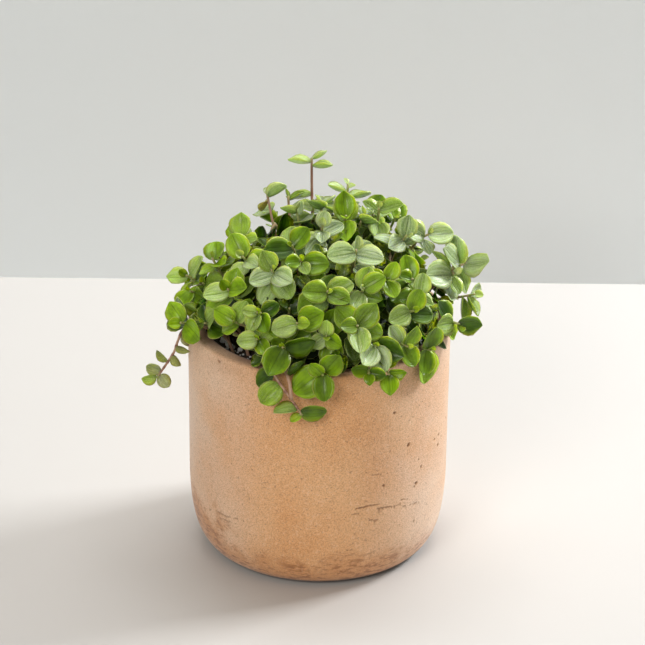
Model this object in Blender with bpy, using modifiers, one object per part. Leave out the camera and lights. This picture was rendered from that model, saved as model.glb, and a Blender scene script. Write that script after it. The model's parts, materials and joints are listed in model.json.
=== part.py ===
"""Creeping inch plant in a straight-sided clay pot with a rounded foot.

The pot is turned, the soil fills it, and each leafy stem is one piece: a stem
with its leaves joined to it, which stands in its own hole in the soil.
Run with: blender --background --python part.py
Metres, +Z up, origin at the centre of the pot's underside, -Y is the front.
"""

import math
import random

import bmesh
import bpy
from mathutils import Matrix, Vector
from mathutils.bvhtree import BVHTree

MM = 0.001

# Pot, in mm
POT_RADIUS = 67.5
POT_HEIGHT = 125.5
POT_TAPER = 0.3
POT_WALL = 8.0
RIM_ROUND = 1.5
FLOOR_THICK = 10.0
FOOT_RADIUS = 50.0
FOOT_HEIGHT = 46.0
FOOT_PULL_DOWN = 0.72
FOOT_PULL_OUT = 0.70
INNER_CORNER = 24.0
CORNER_STEPS = 3
FOOT_STEPS = 5
POT_SIDES = 36

# Soil, in mm
SOIL_TOP = 114.0
SOIL_RELIEF = 1.0
SOIL_SIDES = 24
SOIL_RINGS = 3
GAP = 0.3
HOLE_DEPTH = 9.0
HOLE_SIDES = 4
FEET_APART = 4.0

# Stems, in mm
STEM_RADIUS = 1.0
TIP_RADIUS = 0.55
STEM_STEPS = 4
ARCHES = (0.42, 0.65, 0.9, 1.2)
ROOT_PLACES = ((0.62, 0), (0.56, 0), (0.68, 1), (0.5, 0), (0.62, 5), (0.45, 0), (0.74, 0))
ROOT_TURNS = (0, 4, -4, 8, -8, 12, -12, 17, -17, 23, -23)
FORK_SHARES = (0.75, 0.6, 0.45, 0.3)

# Leaves, in mm
LEAF_THICK = 0.65
LEAF_WIDTH = 0.9
LEAF_CORNERS = 8
YOUNG_CORNERS = 6
YOUNG_LENGTH = 8.0
LEAST_LEAF = 7.9
FINE_RANKS = (1, 2)
LEAF_MIDDLE = 0.55
CLEARANCE = 0.35
OWN_CLEARANCE = 0.1
OWN_START = 0.1
BUD_START = 0.4
BASE_SHARE = 0.4

# The nodes of a stem from its tip down: distance from the tip in mm, and the leaf's angle from the stem
NODE_PLACES = (0.6, 2.2, 4.2, 6.8, 10.2, 14.5, 19.5)
LEAF_TILTS = (34, 58, 72, 80, 86, 92, 96)
TURN_PER_NODE = 137

# Where a leaf is in the way of another, these changes of turn, tilt and size are tried in order
TRIES = (
    (0, 0, 1.0), (0, -8, 1.0), (0, 9, 1.0), (10, 0, 1.0), (-10, 0, 1.0), (8, -12, 0.95),
    (-8, -12, 0.95), (8, 14, 0.95), (-8, 14, 0.95), (20, 0, 0.92), (-20, 0, 0.92),
    (0, -20, 0.9), (0, 22, 0.9), (16, -18, 0.88), (-16, -18, 0.88), (16, 20, 0.88), (-16, 20, 0.88),
    (32, -8, 0.85), (-32, -8, 0.85), (32, 12, 0.85), (-32, 12, 0.85), (0, -30, 0.8), (0, 32, 0.8),
    (24, -26, 0.78), (-24, -26, 0.78), (24, 28, 0.78), (-24, 28, 0.78),
)

# The shoots that face the front, seen from the tip of each. A row gives the tip's place in mm, the way
# it faces as bearing and lift in degrees (-90 is the front), and its leaves from the youngest down, each
# with its turn round the stem, clockwise from the top, its length in mm and, where the rule's own
# won't do, its angle from the stem and its roll round its midrib. A length of 0 is a node with no leaf.
FRONT_SHOOTS = (
    ("tall", (-5, 53, 192), (90, 88),
     ((75, 9, 66), (-90, 12.5, 84), (95, 11, 88), (0, 0), (0, 0), (0, 0), (-85, 14, 86))),
    ("thin_left", (-28, 41, 177), (120, 70),
     ((-60, 4), (42, 12, 60, -30), (-110, 8, 120), (0, 0), (-100, 14, 80, -20), (0, 0), (0, 0))),
    ("thin_right", (-17, 42, 175), (100, 80),
     ((-40, 5, 30, 70), (50, 10, 48), (0, 0), (0, 0), (-90, 9, 86), (80, 6, 86), (0, 0))),
    ("back_bud", (14, 45, 181), (90, 85), ((-40, 4), (60, 5), (-88, 11), (85, 13), (180, 13))),
    ("crown", (13, 12, 177.5), (-88, 32), ((183, 6.5), (-5, 14), (184, 14), (36, 17), (140, 10), (-85, 13))),
    ("swirl", (-4, 38, 171), (-90, 52), ((0, 4), (-80, 9), (60, 12.5), (-122, 12), (115, 12), (-20, 13))),
    ("pale_crown", (1, -2, 178), (-90, 42), ((0, 5), (10, 9), (182, 9.5), (62, 12), (-150, 14.5), (-75, 12))),
    ("left_crown", (-14, -20, 175), (-100, 38), ((-100, 4), (45, 12.5), (-104, 15), (-12, 14), (-165, 12))),
    ("left_dark", (-10, -28, 171), (-95, 26), ((60, 4), (-110, 9), (150, 8), (92, 14), (-50, 9))),
    ("pale_pair", (18, -22, 174), (-90, 50),
     ((10, 7.5, 40, 50), (-108, 15, 74), (106, 14.5, 78), (40, 12), (0, 0))),
    ("pale_rosette", (44, 7, 169), (-78, 38), ((150, 5), (12, 12), (-120, 12, 80), (80, 15), (-70, 15, 76))),
    ("right_mid", (46.5, -30, 162), (-82, 30),
     ((-85, 8.5, 60), (-22, 13.5), (108, 11), (-135, 14), (160, 13))),
    ("right_gloss", (69, 6, 148.5), (-85, 24), ((40, 5), (-94, 17, 82), (150, 11), (190, 13), (20, 12))),
    ("far_right", (75, 16, 150), (-62, 34),
     ((-20, 4), (98, 17, 62, 58), (-72, 18.5, 84), (163, 15, 84), (-20, 14))),
    ("pale_top", (56, 14, 167), (-65, 20), ((0, 4), (92, 14), (-70, 13.5), (-150, 12))),
    ("right_hang", (80, 8, 136), (-35, 14), ((110, 5), (60, 9), (165, 12), (205, 13), (-60, 12))),
    ("right_low", (71, -24, 134), (-78, 8), ((200, 6), (90, 13.5, 62, 40), (-95, 14), (-40, 14), (140, 11))),
    ("right_front", (47, -44, 151), (-78, 24), ((60, 4), (3, 12), (-112, 13.5), (60, 16.5), (12, 16))),
    ("right_foot", (56, -48, 131), (-78, 16),
     ((0, 4.5), (-8, 14.5), (186, 13), (166, 18.5), (-140, 13), (-50, 15))),
    ("foot_lime", (35, -68, 127), (-78, 6), ((185, 11), (80, 9), (-70, 9), (20, 11))),
    ("foot_shade", (25, -71, 129), (-95, -6), ((180, 7), (110, 9.5), (-80, 9))),
    ("front_bright", (19, -62, 151), (-88, 24),
     ((-95, 9.5, 58), (176, 14.5), (42, 15), (105, 13.5), (-45, 14))),
    ("front_high", (4, -50, 164), (-90, 28), ((100, 3.5), (-97, 13.5), (115, 12.5), (66, 14), (-120, 17))),
    ("front_left", (-11, -62, 152), (-98, 24),
     ((95, 7.5, 62), (-106, 13, 74), (68, 14.5), (-108, 15.5), (0, 0))),
    ("front_small", (3.5, -62, 145), (-92, 20), ((170, 4), (0, 9), (125, 9.5), (-125, 9.5))),
    ("pale_left", (-24, -36, 169), (-98, 32),
     ((75, 4), (-30, 11.5), (122, 13), (-112, 13), (142, 15), (-155, 15))),
    ("left_bright", (-46, -36, 158), (-92, 30), ((-40, 6.5), (92, 13), (-100, 13.5), (10, 13), (-138, 16.5))),
    ("far_left", (-69, 14, 142), (-105, 32),
     ((-60, 5), (-102, 12), (30, 13), (68, 14.5), (-40, 12), (170, 13))),
    ("left_fold", (-39, -19, 168), (-105, 32), ((-60, 5), (-30, 14), (120, 10.5), (75, 12), (-130, 12))),
    ("left_up", (-41, 4, 169), (-110, 66), ((-5, 13, 52), (-40, 12, 60), (100, 11, 72), (170, 12))),
    ("left_lime", (-55, -1, 159), (-110, 62), ((30, 4), (-15, 13, 82), (110, 10), (-125, 10))),
    ("left_reach", (-70, -34, 138), (-94, 26), ((-105, 7), (-28, 12.5), (128, 14.5), (-62, 20, 95))),
    ("front_lime", (-31, -62, 143), (-100, 22), ((30, 4), (-98, 10.5), (145, 10), (60, 9), (0, 0))),
    ("front_wide", (-18, -69, 142), (-98, 14), ((0, 4), (-155, 16.5), (88, 15.5, 92, 35), (-60, 11))),
    ("front_foot", (2, -75, 130), (-88, 14),
     ((-40, 9.5, 68), (176, 13.5), (42, 13.5), (-124, 18.5), (98, 14), (15, 14), (-165, 15))),
    ("front_notched", (28, -64, 141), (-86, 18), ((10, 4), (-140, 13.5), (160, 14.5), (97, 18.5), (-30, 12))),
    ("left_inner", (-31, -57, 155.5), (-100, 22), ((60, 4), (-85, 8), (-160, 11), (155, 11), (60, 10))),
    ("back_lime", (39, 37, 166), (-80, 42), ((150, 4), (-12, 10), (18, 14.5), (110, 12), (-95, 12))),
    ("back_olive", (27, 36, 170), (-85, 48), ((-160, 4), (28, 11.5), (170, 12), (75, 12), (-150, 12))),
    ("mid_right", (34, -36, 165), (-88, 28), ((-150, 4), (28, 10), (160, 11), (-70, 11), (95, 10))),
    ("right_olive", (51, -36, 157), (-72, 22), ((-160, 4), (8, 11), (100, 11), (-95, 11))),
    ("mid_bright", (22, -46, 164), (-88, 28), ((-100, 4), (62, 12.5), (15, 12), (-150, 11), (110, 11))),
    ("rim_left", (-43, -50, 147), (-105, 22), ((60, 4), (-60, 12), (30, 12), (-120, 10))),
    ("rim_far_left", (-58, -36, 139), (-110, 24), ((-20, 4), (60, 12), (110, 13), (-30, 12))),
    ("rim_right", (44, -58, 138), (-68, 12), ((60, 4), (20, 12), (150, 12), (-40, 12))),
)

# Two shoots trail over the rim. The stem goes through the places given, in mm.
TRAILING_SHOOTS = (
    ("trail_front", ((-30, -45, 114), (-30, -50, 125), (-25, -61, 130), (-21, -69.5, 125.5),
                     (-15.5, -73, 118.5), (-11.5, -74.5, 113), (-8, -76, 108)),
     ((180, 6.5, 90, 120), (-10, 13.5, 42, -60), (180, 12, 125, 150), (0, 0), (0, 0), (0, 0),
      (180, 13.5, 78, 85), (185, 14, 120, 75))),
    ("trail_left", ((-46, -8, 114), (-50, -8.5, 126), (-60, -10, 131), (-70, -13, 123),
                    (-74, -16, 113), (-79, -20, 106), (-83, -23, 101)),
     ((15, 8, 45, 60), (180, 8, 75, 100), (0, 8, 76, 60), (0, 0), (0, 8, 100, 35), (180, 7, 60, 45),
      (180, 8, 85, 10), (180, 8, 85, 10))),
)
# Shoots that fork from another's stem
FORKS = {
    "foot_shade": "front_notched", "foot_lime": "rim_right", "rim_left": "left_inner",
    "right_hang": "right_gloss", "back_olive": "back_lime", "right_olive": "right_front",
}
# Leaves that the rule adds below those chosen by hand, in mm, and the shoots that are bare there
LOWER_LEAVES = (14,)
BARE_BELOW = ("left_reach", "rim_far_left", "pale_top")

# Rows of shoots by rule round the back of the mound: how many, how far out and how high in mm,
# and the bearings in degrees from the first to the last
BACK_ROWS = (
    (5, 31, 174, 40, 140),
    (7, 55, 157, 12, 168),
    (6, 70, 136, 20, 160),
    (4, 60, 128, 35, 150),
)
BACK_LEAVES = (5, 10, 13.5, 15)
# Places in the rows that stay open, where the thin stems stand free
OPEN_PLACES = ("back_1_5",)

LEAF_GREEN = (0.13, 0.30, 0.04)
CLAY = (0.62, 0.36, 0.20)
SOIL_BROWN = (0.035, 0.022, 0.015)


def material(name, colour, roughness):
    """A plain Principled material"""
    finish = bpy.data.materials.new(name)
    finish.use_nodes = True
    shader = finish.node_tree.nodes["Principled BSDF"]
    shader.inputs["Base Color"].default_value = (*colour, 1.0)
    shader.inputs["Roughness"].default_value = roughness
    shader.inputs["Metallic"].default_value = 0.0
    return finish


def collection(name):
    """A new collection of the scene"""
    group = bpy.data.collections.new(name)
    bpy.context.scene.collection.children.link(group)
    return group


def new_object(name, mesh, group, finish):
    """A mesh object in a collection, with its material"""
    piece = bpy.data.objects.new(name, mesh)
    group.objects.link(piece)
    mesh.materials.clear()
    mesh.materials.append(finish)
    return piece


# Growth of the plant, in mm


def heading(bearing, lift):
    """The direction of a bearing and a lift in degrees"""
    flat = math.cos(math.radians(lift))
    turn = math.radians(bearing)
    return Vector((flat * math.cos(turn), flat * math.sin(turn), math.sin(math.radians(lift))))


def bezier(start, pull, push, end, share):
    """A point of a cubic curve"""
    rest = 1.0 - share
    return (start * rest**3 + pull * (3 * rest**2 * share)
            + push * (3 * rest * share**2) + end * share**3)


def arch(root, tip, facing, height):
    """The stem's line from the soil to its tip, higher where it has to clear the rim"""
    rise = (tip - root).length
    pull = root + Vector((0, 0, height * rise))
    push = tip - facing * (0.34 * rise) + Vector((0, 0, (height - ARCHES[0]) * 0.7 * rise))
    return [bezier(root, pull, push, tip, step / STEM_STEPS) for step in range(STEM_STEPS + 1)]


def through(places):
    """A smooth line through places chosen by hand"""
    line = []
    for index in range(len(places) - 1):
        before = places[max(index - 1, 0)]
        here, there = places[index], places[index + 1]
        after = places[min(index + 2, len(places) - 1)]
        pull = here + (there - before) / 6
        push = there - (after - here) / 6
        line.append(here)
        line.append(bezier(here, pull, push, there, 0.5))
    line.append(places[-1])
    return line


def back_from_tip(line, distance):
    """The place and direction on a line, a distance back from its tip"""
    left = distance
    for index in range(len(line) - 1, 0, -1):
        piece = line[index] - line[index - 1]
        if left <= piece.length or index == 1:
            return line[index] - piece.normalized() * left, piece.normalized()
        left -= piece.length


def direction_at(line, distance):
    """The stem's direction, evened out over its bends"""
    near = back_from_tip(line, max(distance - 2.5, 0.0))[1]
    far = back_from_tip(line, distance + 2.5)[1]
    return (near + far).normalized()


def leaf_frame(place, stem, turn, tilt, sunk, roll):
    """Side, length and upper face of a leaf as the axes of a matrix, from its root in the stem's side"""
    upward = Vector((0.0, 0.436, 0.9))
    top = (upward - stem * upward.dot(stem)).normalized()
    across = top.cross(stem)
    out = top * math.cos(math.radians(turn)) + across * math.sin(math.radians(turn))
    along = stem * math.cos(math.radians(tilt)) + out * math.sin(math.radians(tilt))
    face = stem * math.sin(math.radians(tilt)) - out * math.cos(math.radians(tilt))
    frame = Matrix((along.cross(face), along, face)).transposed().to_4x4()
    return Matrix.Translation(place + out * sunk) @ frame @ Matrix.Rotation(math.radians(roll), 4, "Y")


def half_width(share):
    """Half the blade's width at a share of its length, as a share of its greatest half width"""
    return share**0.45 * (1.0 - share) ** 0.72 / 0.4586


def blade_point(leaf, share, side):
    """A point of the blade: share runs from the base to the tip, side from -1 to 1"""
    length = leaf["length"]
    across = side * half_width(share) * leaf["width"] / 2
    cup = leaf["cup"] * (math.sqrt(across * across + 1.0) - 1.0)
    bend = leaf["bend"] * length * share * share
    return Vector((across, length * share, cup + bend))


def outline(corners):
    """The blade's corners, from its base round by its tip"""
    ring = []
    for index in range(corners):
        angle = 2 * math.pi * index / corners
        side = 0 if index in (0, corners // 2) else (1 if index < corners // 2 else -1)
        ring.append((((1 - math.cos(angle)) / 2) ** 0.9, side))
    return ring


def blade_shell(leaf, grow, start):
    """The thickened blade's points and faces, for finding what is in its way"""
    ring = outline(leaf["corners"])
    points = [blade_point(leaf, start + (1 - start) * LEAF_MIDDLE, 0)]
    for share, side in ring:
        point = blade_point(leaf, start + (1 - start) * share, side)
        point.x += grow * side
        points.append(point)
    points[1 + len(ring) // 2].y += grow
    half = Vector((0, 0, LEAF_THICK / 2 + grow))
    count = len(points)
    shell = [leaf["frame"] @ (point + half) for point in points]
    shell += [leaf["frame"] @ (point - half) for point in points]
    faces = [(1, 2, count - 1), (0, count - 1, 2)]
    faces += [(0, index, index + 1) for index in range(2, count - 1)]
    faces += [(count + low, count + high, count + middle) for low, middle, high in tuple(faces)]
    for index in range(1, count):
        after = index % (count - 1) + 1
        faces.append((index, count + index, count + after, after))
    return shell, faces


def tube_shell(line, radii, grow):
    """A square tube round a line, for finding what is in its way"""
    points = []
    for index, place in enumerate(line):
        ahead = line[min(index + 1, len(line) - 1)] - line[max(index - 1, 0)]
        side = ahead.orthogonal().normalized()
        other = ahead.cross(side).normalized()
        reach = (radii[index] + grow) * 1.1
        for quarter in (side, other, -side, -other):
            points.append(place + quarter * reach)
    faces = []
    for index in range(len(line) - 1):
        for corner in range(4):
            low = index * 4 + corner
            next_low = index * 4 + (corner + 1) % 4
            faces.append((low, next_low, next_low + 4, low + 4))
    return points, faces


def in_pot(point, clear):
    """Whether a point is in the pot's wall, or nearer to it or the soil than a clearance"""
    reach = math.hypot(point.x, point.y)
    low_wall = POT_RADIUS - POT_WALL - clear
    in_wall = low_wall < reach < POT_RADIUS + clear and point.z < POT_HEIGHT + clear
    return in_wall or (reach <= low_wall and point.z < SOIL_TOP + SOIL_RELIEF + clear)


def blade_in_pot(leaf):
    """Whether any of a grid of points on the blade is in the pot"""
    for step in range(1, 9):
        for side in (-1, -0.5, 0, 0.5, 1):
            if in_pot(leaf["frame"] @ blade_point(leaf, step / 8, side), 0.9):
                return True
    return False


class Crowd:
    """What has grown so far, so that nothing new crosses it"""

    def __init__(self):
        self.things = []
        self.feet = []

    def add(self, owner, shell):
        """Keep a shell's owner, middle, reach and tree"""
        points, faces = shell
        middle = sum(points, Vector()) / len(points)
        reach = max((point - middle).length for point in points)
        self.things.append((owner, middle, reach, BVHTree.FromPolygons(points, faces)))

    def meets(self, shell, owner, own):
        """Whether a shell crosses another owner's things, or its own owner's"""
        points, faces = shell
        middle = sum(points, Vector()) / len(points)
        reach = max((point - middle).length for point in points)
        tree = BVHTree.FromPolygons(points, faces)
        for name, centre, span, other in self.things:
            if (name == owner) != own:
                continue
            if (centre - middle).length < reach + span and tree.overlap(other):
                return True
        return False


def stem_radii(line):
    """The stem tapers from the soil to its tip"""
    last = len(line) - 1
    return [STEM_RADIUS + (TIP_RADIUS - STEM_RADIUS) * (index / last) ** 1.5 for index in range(last + 1)]


def stem_pieces(line, radii):
    """A line's stretches as short tubes, so that a bent stem isn't taken for its whole box"""
    return [(line[index:index + 2], radii[index:index + 2]) for index in range(len(line) - 1)]


def line_clear(line, name, crowd):
    """Whether a stem's line keeps clear of the pot and of the other stems"""
    radii = stem_radii(line)
    for share in range(2, 12 * (len(line) - 1) + 1):
        index, part = divmod(share, 12)
        there = line[min(index + 1, len(line) - 1)]
        point = line[index].lerp(there, part / 12)
        if share > 9 and in_pot(point, radii[index] + 0.5):
            return False
    for part, widths in stem_pieces(line, radii):
        if crowd.meets(tube_shell(part, widths, CLEARANCE), name, False):
            return False
    return True


def plant_root(tip, reach_share, turn, spread):
    """Where a stem comes out of the soil, on its tip's own side of the pot"""
    reach = min(math.hypot(tip.x, tip.y) * reach_share + spread, 53.0)
    bearing = math.atan2(tip.y, tip.x) + math.radians(turn)
    return Vector((reach * math.cos(bearing), reach * math.sin(bearing), SOIL_TOP))


def grow_stem(name, tip, facing, crowd):
    """The first root place whose stem keeps clear of the others"""
    for height in ARCHES:
        for reach_share, spread in ROOT_PLACES:
            for turn in ROOT_TURNS:
                root = plant_root(tip, reach_share, turn, spread)
                if any((root - foot).length < FEET_APART for foot in crowd.feet):
                    continue
                line = arch(root, tip, facing, height)
                if line_clear(line, name, crowd):
                    return line
    return None


def grow_fork(name, parent, tip, facing, crowd):
    """A side stem that leaves another on its way up"""
    for share in FORK_SHARES:
        start = parent["line"][-1].lerp(parent["line"][0], share)
        root = min(parent["line"][1:-1], key=lambda point: (point - start).length)
        for height in ARCHES:
            line = arch(root, tip, facing, height * 0.6)
            if line_clear(line, name, crowd):
                return line
    return None


def add_stem(shoots, crowd, name, line, leaves, parent):
    """Keep a shoot whose stem has found its place, in its own node or its parent's"""
    radii = stem_radii(line)
    node = parent["node"] if parent else name
    if not parent:
        crowd.feet.append(line[0])
    for part, widths in stem_pieces(line, radii):
        crowd.add(node, tube_shell(part, widths, 0.0))
    shoot = {"name": name, "node": node, "line": line, "radii": radii, "plan": leaves, "leaves": []}
    shoots.append(shoot)
    return shoot


def back_plan(count, first, last, seed):
    """Bearings of a row of back shoots, with a little chance in them"""
    chance = random.Random(seed)
    step = (last - first) / max(count - 1, 1)
    return [first + step * index + chance.uniform(-4, 4) for index in range(count)]


def rule_leaves(name, given, lengths):
    """A shoot's leaves, from its youngest down: those given, then more by the plant's own rule"""
    chance = random.Random(name)
    turn = given[-1][0] if given else chance.uniform(0, 360)
    leaves = list(given)
    for length in lengths:
        turn += TURN_PER_NODE + chance.uniform(-14, 14)
        leaves.append((turn, length * chance.uniform(0.9, 1.06)))
    return tuple(leaves)


def plant_stems():
    """Every stem, from those chosen by hand to the rows at the back"""
    crowd = Crowd()
    shoots = []
    for name, places, leaves in TRAILING_SHOOTS:
        add_stem(shoots, crowd, name, through([Vector(place) for place in places]), leaves, None)
    found = {}
    for name, tip, facing, leaves in sorted(FRONT_SHOOTS, key=lambda row: row[0] in FORKS):
        parent = found.get(FORKS.get(name))
        lower = () if name in BARE_BELOW else LOWER_LEAVES
        grow_one(shoots, crowd, found, name, Vector(tip), heading(*facing), parent,
                 rule_leaves(name, leaves, lower))
    for row, (count, reach, height, first, last) in enumerate(BACK_ROWS):
        parent = None
        for index, bearing in enumerate(back_plan(count, first, last, row)):
            name = f"back_{row + 1}_{index + 1}"
            if name in OPEN_PLACES:
                continue
            chance = random.Random(name)
            tip = heading(bearing, 0) * (reach + chance.uniform(-3, 3))
            tip.z = height + chance.uniform(-3, 3)
            lift = 62 - 0.8 * (180 - height) + chance.uniform(-6, 6)
            grown = grow_one(shoots, crowd, found, name, tip, heading(bearing, lift), parent,
                             rule_leaves(name, (), BACK_LEAVES))
            parent = grown if grown and not parent else None
    return shoots, crowd


def grow_one(shoots, crowd, found, name, tip, facing, parent, leaves):
    """One stem of its own, or a fork of another's"""
    node = parent["node"] if parent else name
    line = grow_fork(node, parent, tip, facing, crowd) if parent else grow_stem(node, tip, facing, crowd)
    if not line:
        print("no room for stem", name)
        return None
    found[name] = add_stem(shoots, crowd, name, line, leaves, parent)
    return found[name]


def radius_at(shoot, distance):
    """The stem's radius a distance back from its tip"""
    length = sum((b - a).length for a, b in zip(shoot["line"], shoot["line"][1:]))
    share = max(0.0, 1.0 - distance / length)
    return STEM_RADIUS + (TIP_RADIUS - STEM_RADIUS) * share**1.5


def leaf_traits(shoot, rank):
    """The small differences between one leaf and the next"""
    chance = random.Random(f"{shoot['name']} {rank}")
    young = max(0.0, 1.0 - shoot["plan"][rank][1] / 14)
    return {
        "cup": chance.uniform(0.12, 0.30) + 0.5 * young,
        "bend": chance.uniform(-0.20, 0.02) + 0.15 * young,
        "roll": chance.uniform(-10, 10),
        "plump": chance.uniform(0.95, 1.06),
        "tone": chance.random(),
    }


def place_leaf(shoot, rank, crowd):
    """A leaf at the first of the tries where it crosses nothing"""
    turn, length, *rest = shoot["plan"][rank]
    if not length:
        return
    usual = LEAF_TILTS[min(rank, len(LEAF_TILTS) - 1)]
    traits = leaf_traits(shoot, rank)
    distance = NODE_PLACES[min(rank, 6)] + max(rank - 6, 0) * 6.5
    place = back_from_tip(shoot["line"], distance)[0]
    stem = direction_at(shoot["line"], distance)
    sunk = BASE_SHARE * radius_at(shoot, distance)
    for turned, tilted, scale in TRIES:
        leaf = dict(traits)
        leaf["rank"] = rank
        leaf["corners"] = LEAF_CORNERS if length > YOUNG_LENGTH and rank in FINE_RANKS else YOUNG_CORNERS
        leaf["length"] = length * scale
        leaf["width"] = length * scale * LEAF_WIDTH * traits["plump"]
        tilt = (rest[0] if rest else usual) + tilted
        roll = traits["roll"] + (rest[1] if len(rest) > 1 else 0)
        leaf["frame"] = leaf_frame(place, stem, turn + turned, tilt, sunk, roll)
        if blade_in_pot(leaf):
            continue
        if crowd.meets(blade_shell(leaf, CLEARANCE, 0.0), shoot["node"], False):
            continue
        own = BUD_START if rank == 0 else OWN_START
        if crowd.meets(blade_shell(leaf, OWN_CLEARANCE, own), shoot["node"], True):
            continue
        shoot["leaves"].append(leaf)
        crowd.add(shoot["node"], blade_shell(leaf, 0.0, 0.0))
        return


def grow_plant():
    """All shoots with their leaves, the tip leaves of every shoot before those lower down"""
    shoots, crowd = plant_stems()
    for rank in range(max(len(shoot["plan"]) for shoot in shoots)):
        for shoot in shoots:
            if rank < len(shoot["plan"]):
                place_leaf(shoot, rank, crowd)
    return shoots


# Pieces, in metres


def turned(name, profile, sides, group, finish):
    """A profile in mm turned round the upright axis"""
    mesh = bpy.data.meshes.new(name)
    points = [(reach * MM, 0.0, height * MM) for reach, height in profile]
    edges = [(index, index + 1) for index in range(len(points) - 1)]
    mesh.from_pydata(points, edges, [])
    piece = new_object(name, mesh, group, finish)
    screw = piece.modifiers.new("turn", "SCREW")
    screw.steps = sides
    screw.render_steps = sides
    screw.use_merge_vertices = True
    screw.merge_threshold = 0.00005
    return piece


def baked(piece):
    """Apply a piece's modifiers to its mesh"""
    graph = bpy.context.evaluated_depsgraph_get()
    mesh = bpy.data.meshes.new_from_object(piece.evaluated_get(graph))
    piece.modifiers.clear()
    piece.data = mesh
    return piece


def foot_curve(steps):
    """The pot's rounded foot, from the wall down to the flat underside"""
    wall = POT_RADIUS - POT_TAPER
    start = Vector((wall, FOOT_HEIGHT))
    pull = Vector((wall, FOOT_HEIGHT * (1 - FOOT_PULL_DOWN)))
    push = Vector((FOOT_RADIUS + (wall - FOOT_RADIUS) * FOOT_PULL_OUT, 0.0))
    end = Vector((FOOT_RADIUS, 0.0))
    return [tuple(bezier(start, pull, push, end, step / steps)) for step in range(steps + 1)]


def inner_corner(shrink, steps):
    """The hollow's rounded corner, from its floor up to its wall"""
    reach = POT_RADIUS - POT_WALL - shrink
    centre = (reach - INNER_CORNER, FLOOR_THICK + shrink + INNER_CORNER)
    points = []
    for step in range(steps + 1):
        angle = math.pi / 2 * step / steps
        out, down = INNER_CORNER * math.sin(angle), INNER_CORNER * math.cos(angle)
        points.append((centre[0] + out, centre[1] - down))
    return points


def make_pot(group):
    """The clay pot: a straight wall, a softened rim and a rounded foot"""
    inner = POT_RADIUS - POT_WALL
    profile = [(0.0, FLOOR_THICK)]
    profile += inner_corner(0.0, CORNER_STEPS)
    profile += [(inner, POT_HEIGHT - RIM_ROUND), (inner + RIM_ROUND, POT_HEIGHT)]
    profile += [(POT_RADIUS - RIM_ROUND, POT_HEIGHT), (POT_RADIUS, POT_HEIGHT - RIM_ROUND)]
    profile += foot_curve(FOOT_STEPS)
    profile += [(0.0, 0.0)]
    pot = turned("pot", profile, POT_SIDES, group, material("clay", CLAY, 0.85))
    pot.data.shade_smooth()
    return pot


def soil_height(x, y):
    """The soil's uneven surface, in mm above its level"""
    lumps = math.sin(x * 0.31 + 1.0) * math.cos(y * 0.27) + 0.6 * math.sin(x * 0.73 - y * 0.61)
    return SOIL_RELIEF * 0.5 * lumps


def make_soil(shoots, group, cutters):
    """Soil that fills the pot, with a hole for every stem"""
    reach = POT_RADIUS - POT_WALL - GAP - 0.2
    profile = [(0.0, SOIL_TOP)]
    profile += [(reach * ring / SOIL_RINGS, SOIL_TOP) for ring in range(1, SOIL_RINGS + 1)]
    profile += [(x - 0.2, z) for x, z in reversed(inner_corner(GAP, CORNER_STEPS))]
    profile += [(0.0, FLOOR_THICK + GAP)]
    soil = baked(turned("soil", profile, SOIL_SIDES, group, material("soil", SOIL_BROWN, 0.95)))
    for vertex in soil.data.vertices:
        x, y, z = vertex.co / MM
        if z > SOIL_TOP - 1 and math.hypot(x, y) < reach - 1:
            vertex.co.z = (SOIL_TOP + soil_height(x, y)) * MM
    holes = bmesh.new()
    for shoot in shoots:
        if shoot["name"] != shoot["node"]:
            continue
        root = shoot["line"][0]
        place = Matrix.Translation((root.x * MM, root.y * MM, SOIL_TOP * MM))
        wide = (STEM_RADIUS + GAP) / math.cos(math.pi / HOLE_SIDES) * MM
        bmesh.ops.create_cone(
            holes, cap_ends=True, segments=HOLE_SIDES, radius1=wide, radius2=wide,
            depth=2 * HOLE_DEPTH * MM, matrix=place,
        )
    mesh = bpy.data.meshes.new("holes")
    holes.to_mesh(mesh)
    holes.free()
    cutter = bpy.data.objects.new("holes", mesh)
    cutters.objects.link(cutter)
    cutter.hide_render = True
    cutter.display_type = "WIRE"
    cut = soil.modifiers.new("holes", "BOOLEAN")
    cut.operation = "DIFFERENCE"
    cut.object = cutter
    return soil


def make_stem(shoot, group, finish):
    """The stem as a tube along its line, from the bottom of its hole"""
    curve = bpy.data.curves.new(shoot["name"], "CURVE")
    curve.dimensions = "3D"
    curve.bevel_depth = MM
    curve.bevel_resolution = 0
    curve.use_fill_caps = True
    places = list(shoot["line"])
    radii = list(shoot["radii"])
    if shoot["name"] == shoot["node"]:
        places.insert(0, places[0] - Vector((0, 0, HOLE_DEPTH - 1)))
        radii.insert(0, radii[0])
    spline = curve.splines.new("POLY")
    spline.points.add(len(places) - 1)
    for point, place, radius in zip(spline.points, places, radii):
        point.co = (*(place * MM), 1.0)
        point.radius = radius
    tube = bpy.data.objects.new(shoot["name"], curve)
    group.objects.link(tube)
    graph = bpy.context.evaluated_depsgraph_get()
    mesh = bpy.data.meshes.new_from_object(tube.evaluated_get(graph))
    bpy.data.objects.remove(tube)
    shape = bmesh.new()
    shape.from_mesh(mesh)
    bmesh.ops.remove_doubles(shape, verts=shape.verts, dist=0.00002)
    shape.to_mesh(mesh)
    shape.free()
    return new_object(shoot["name"], mesh, group, finish)


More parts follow.
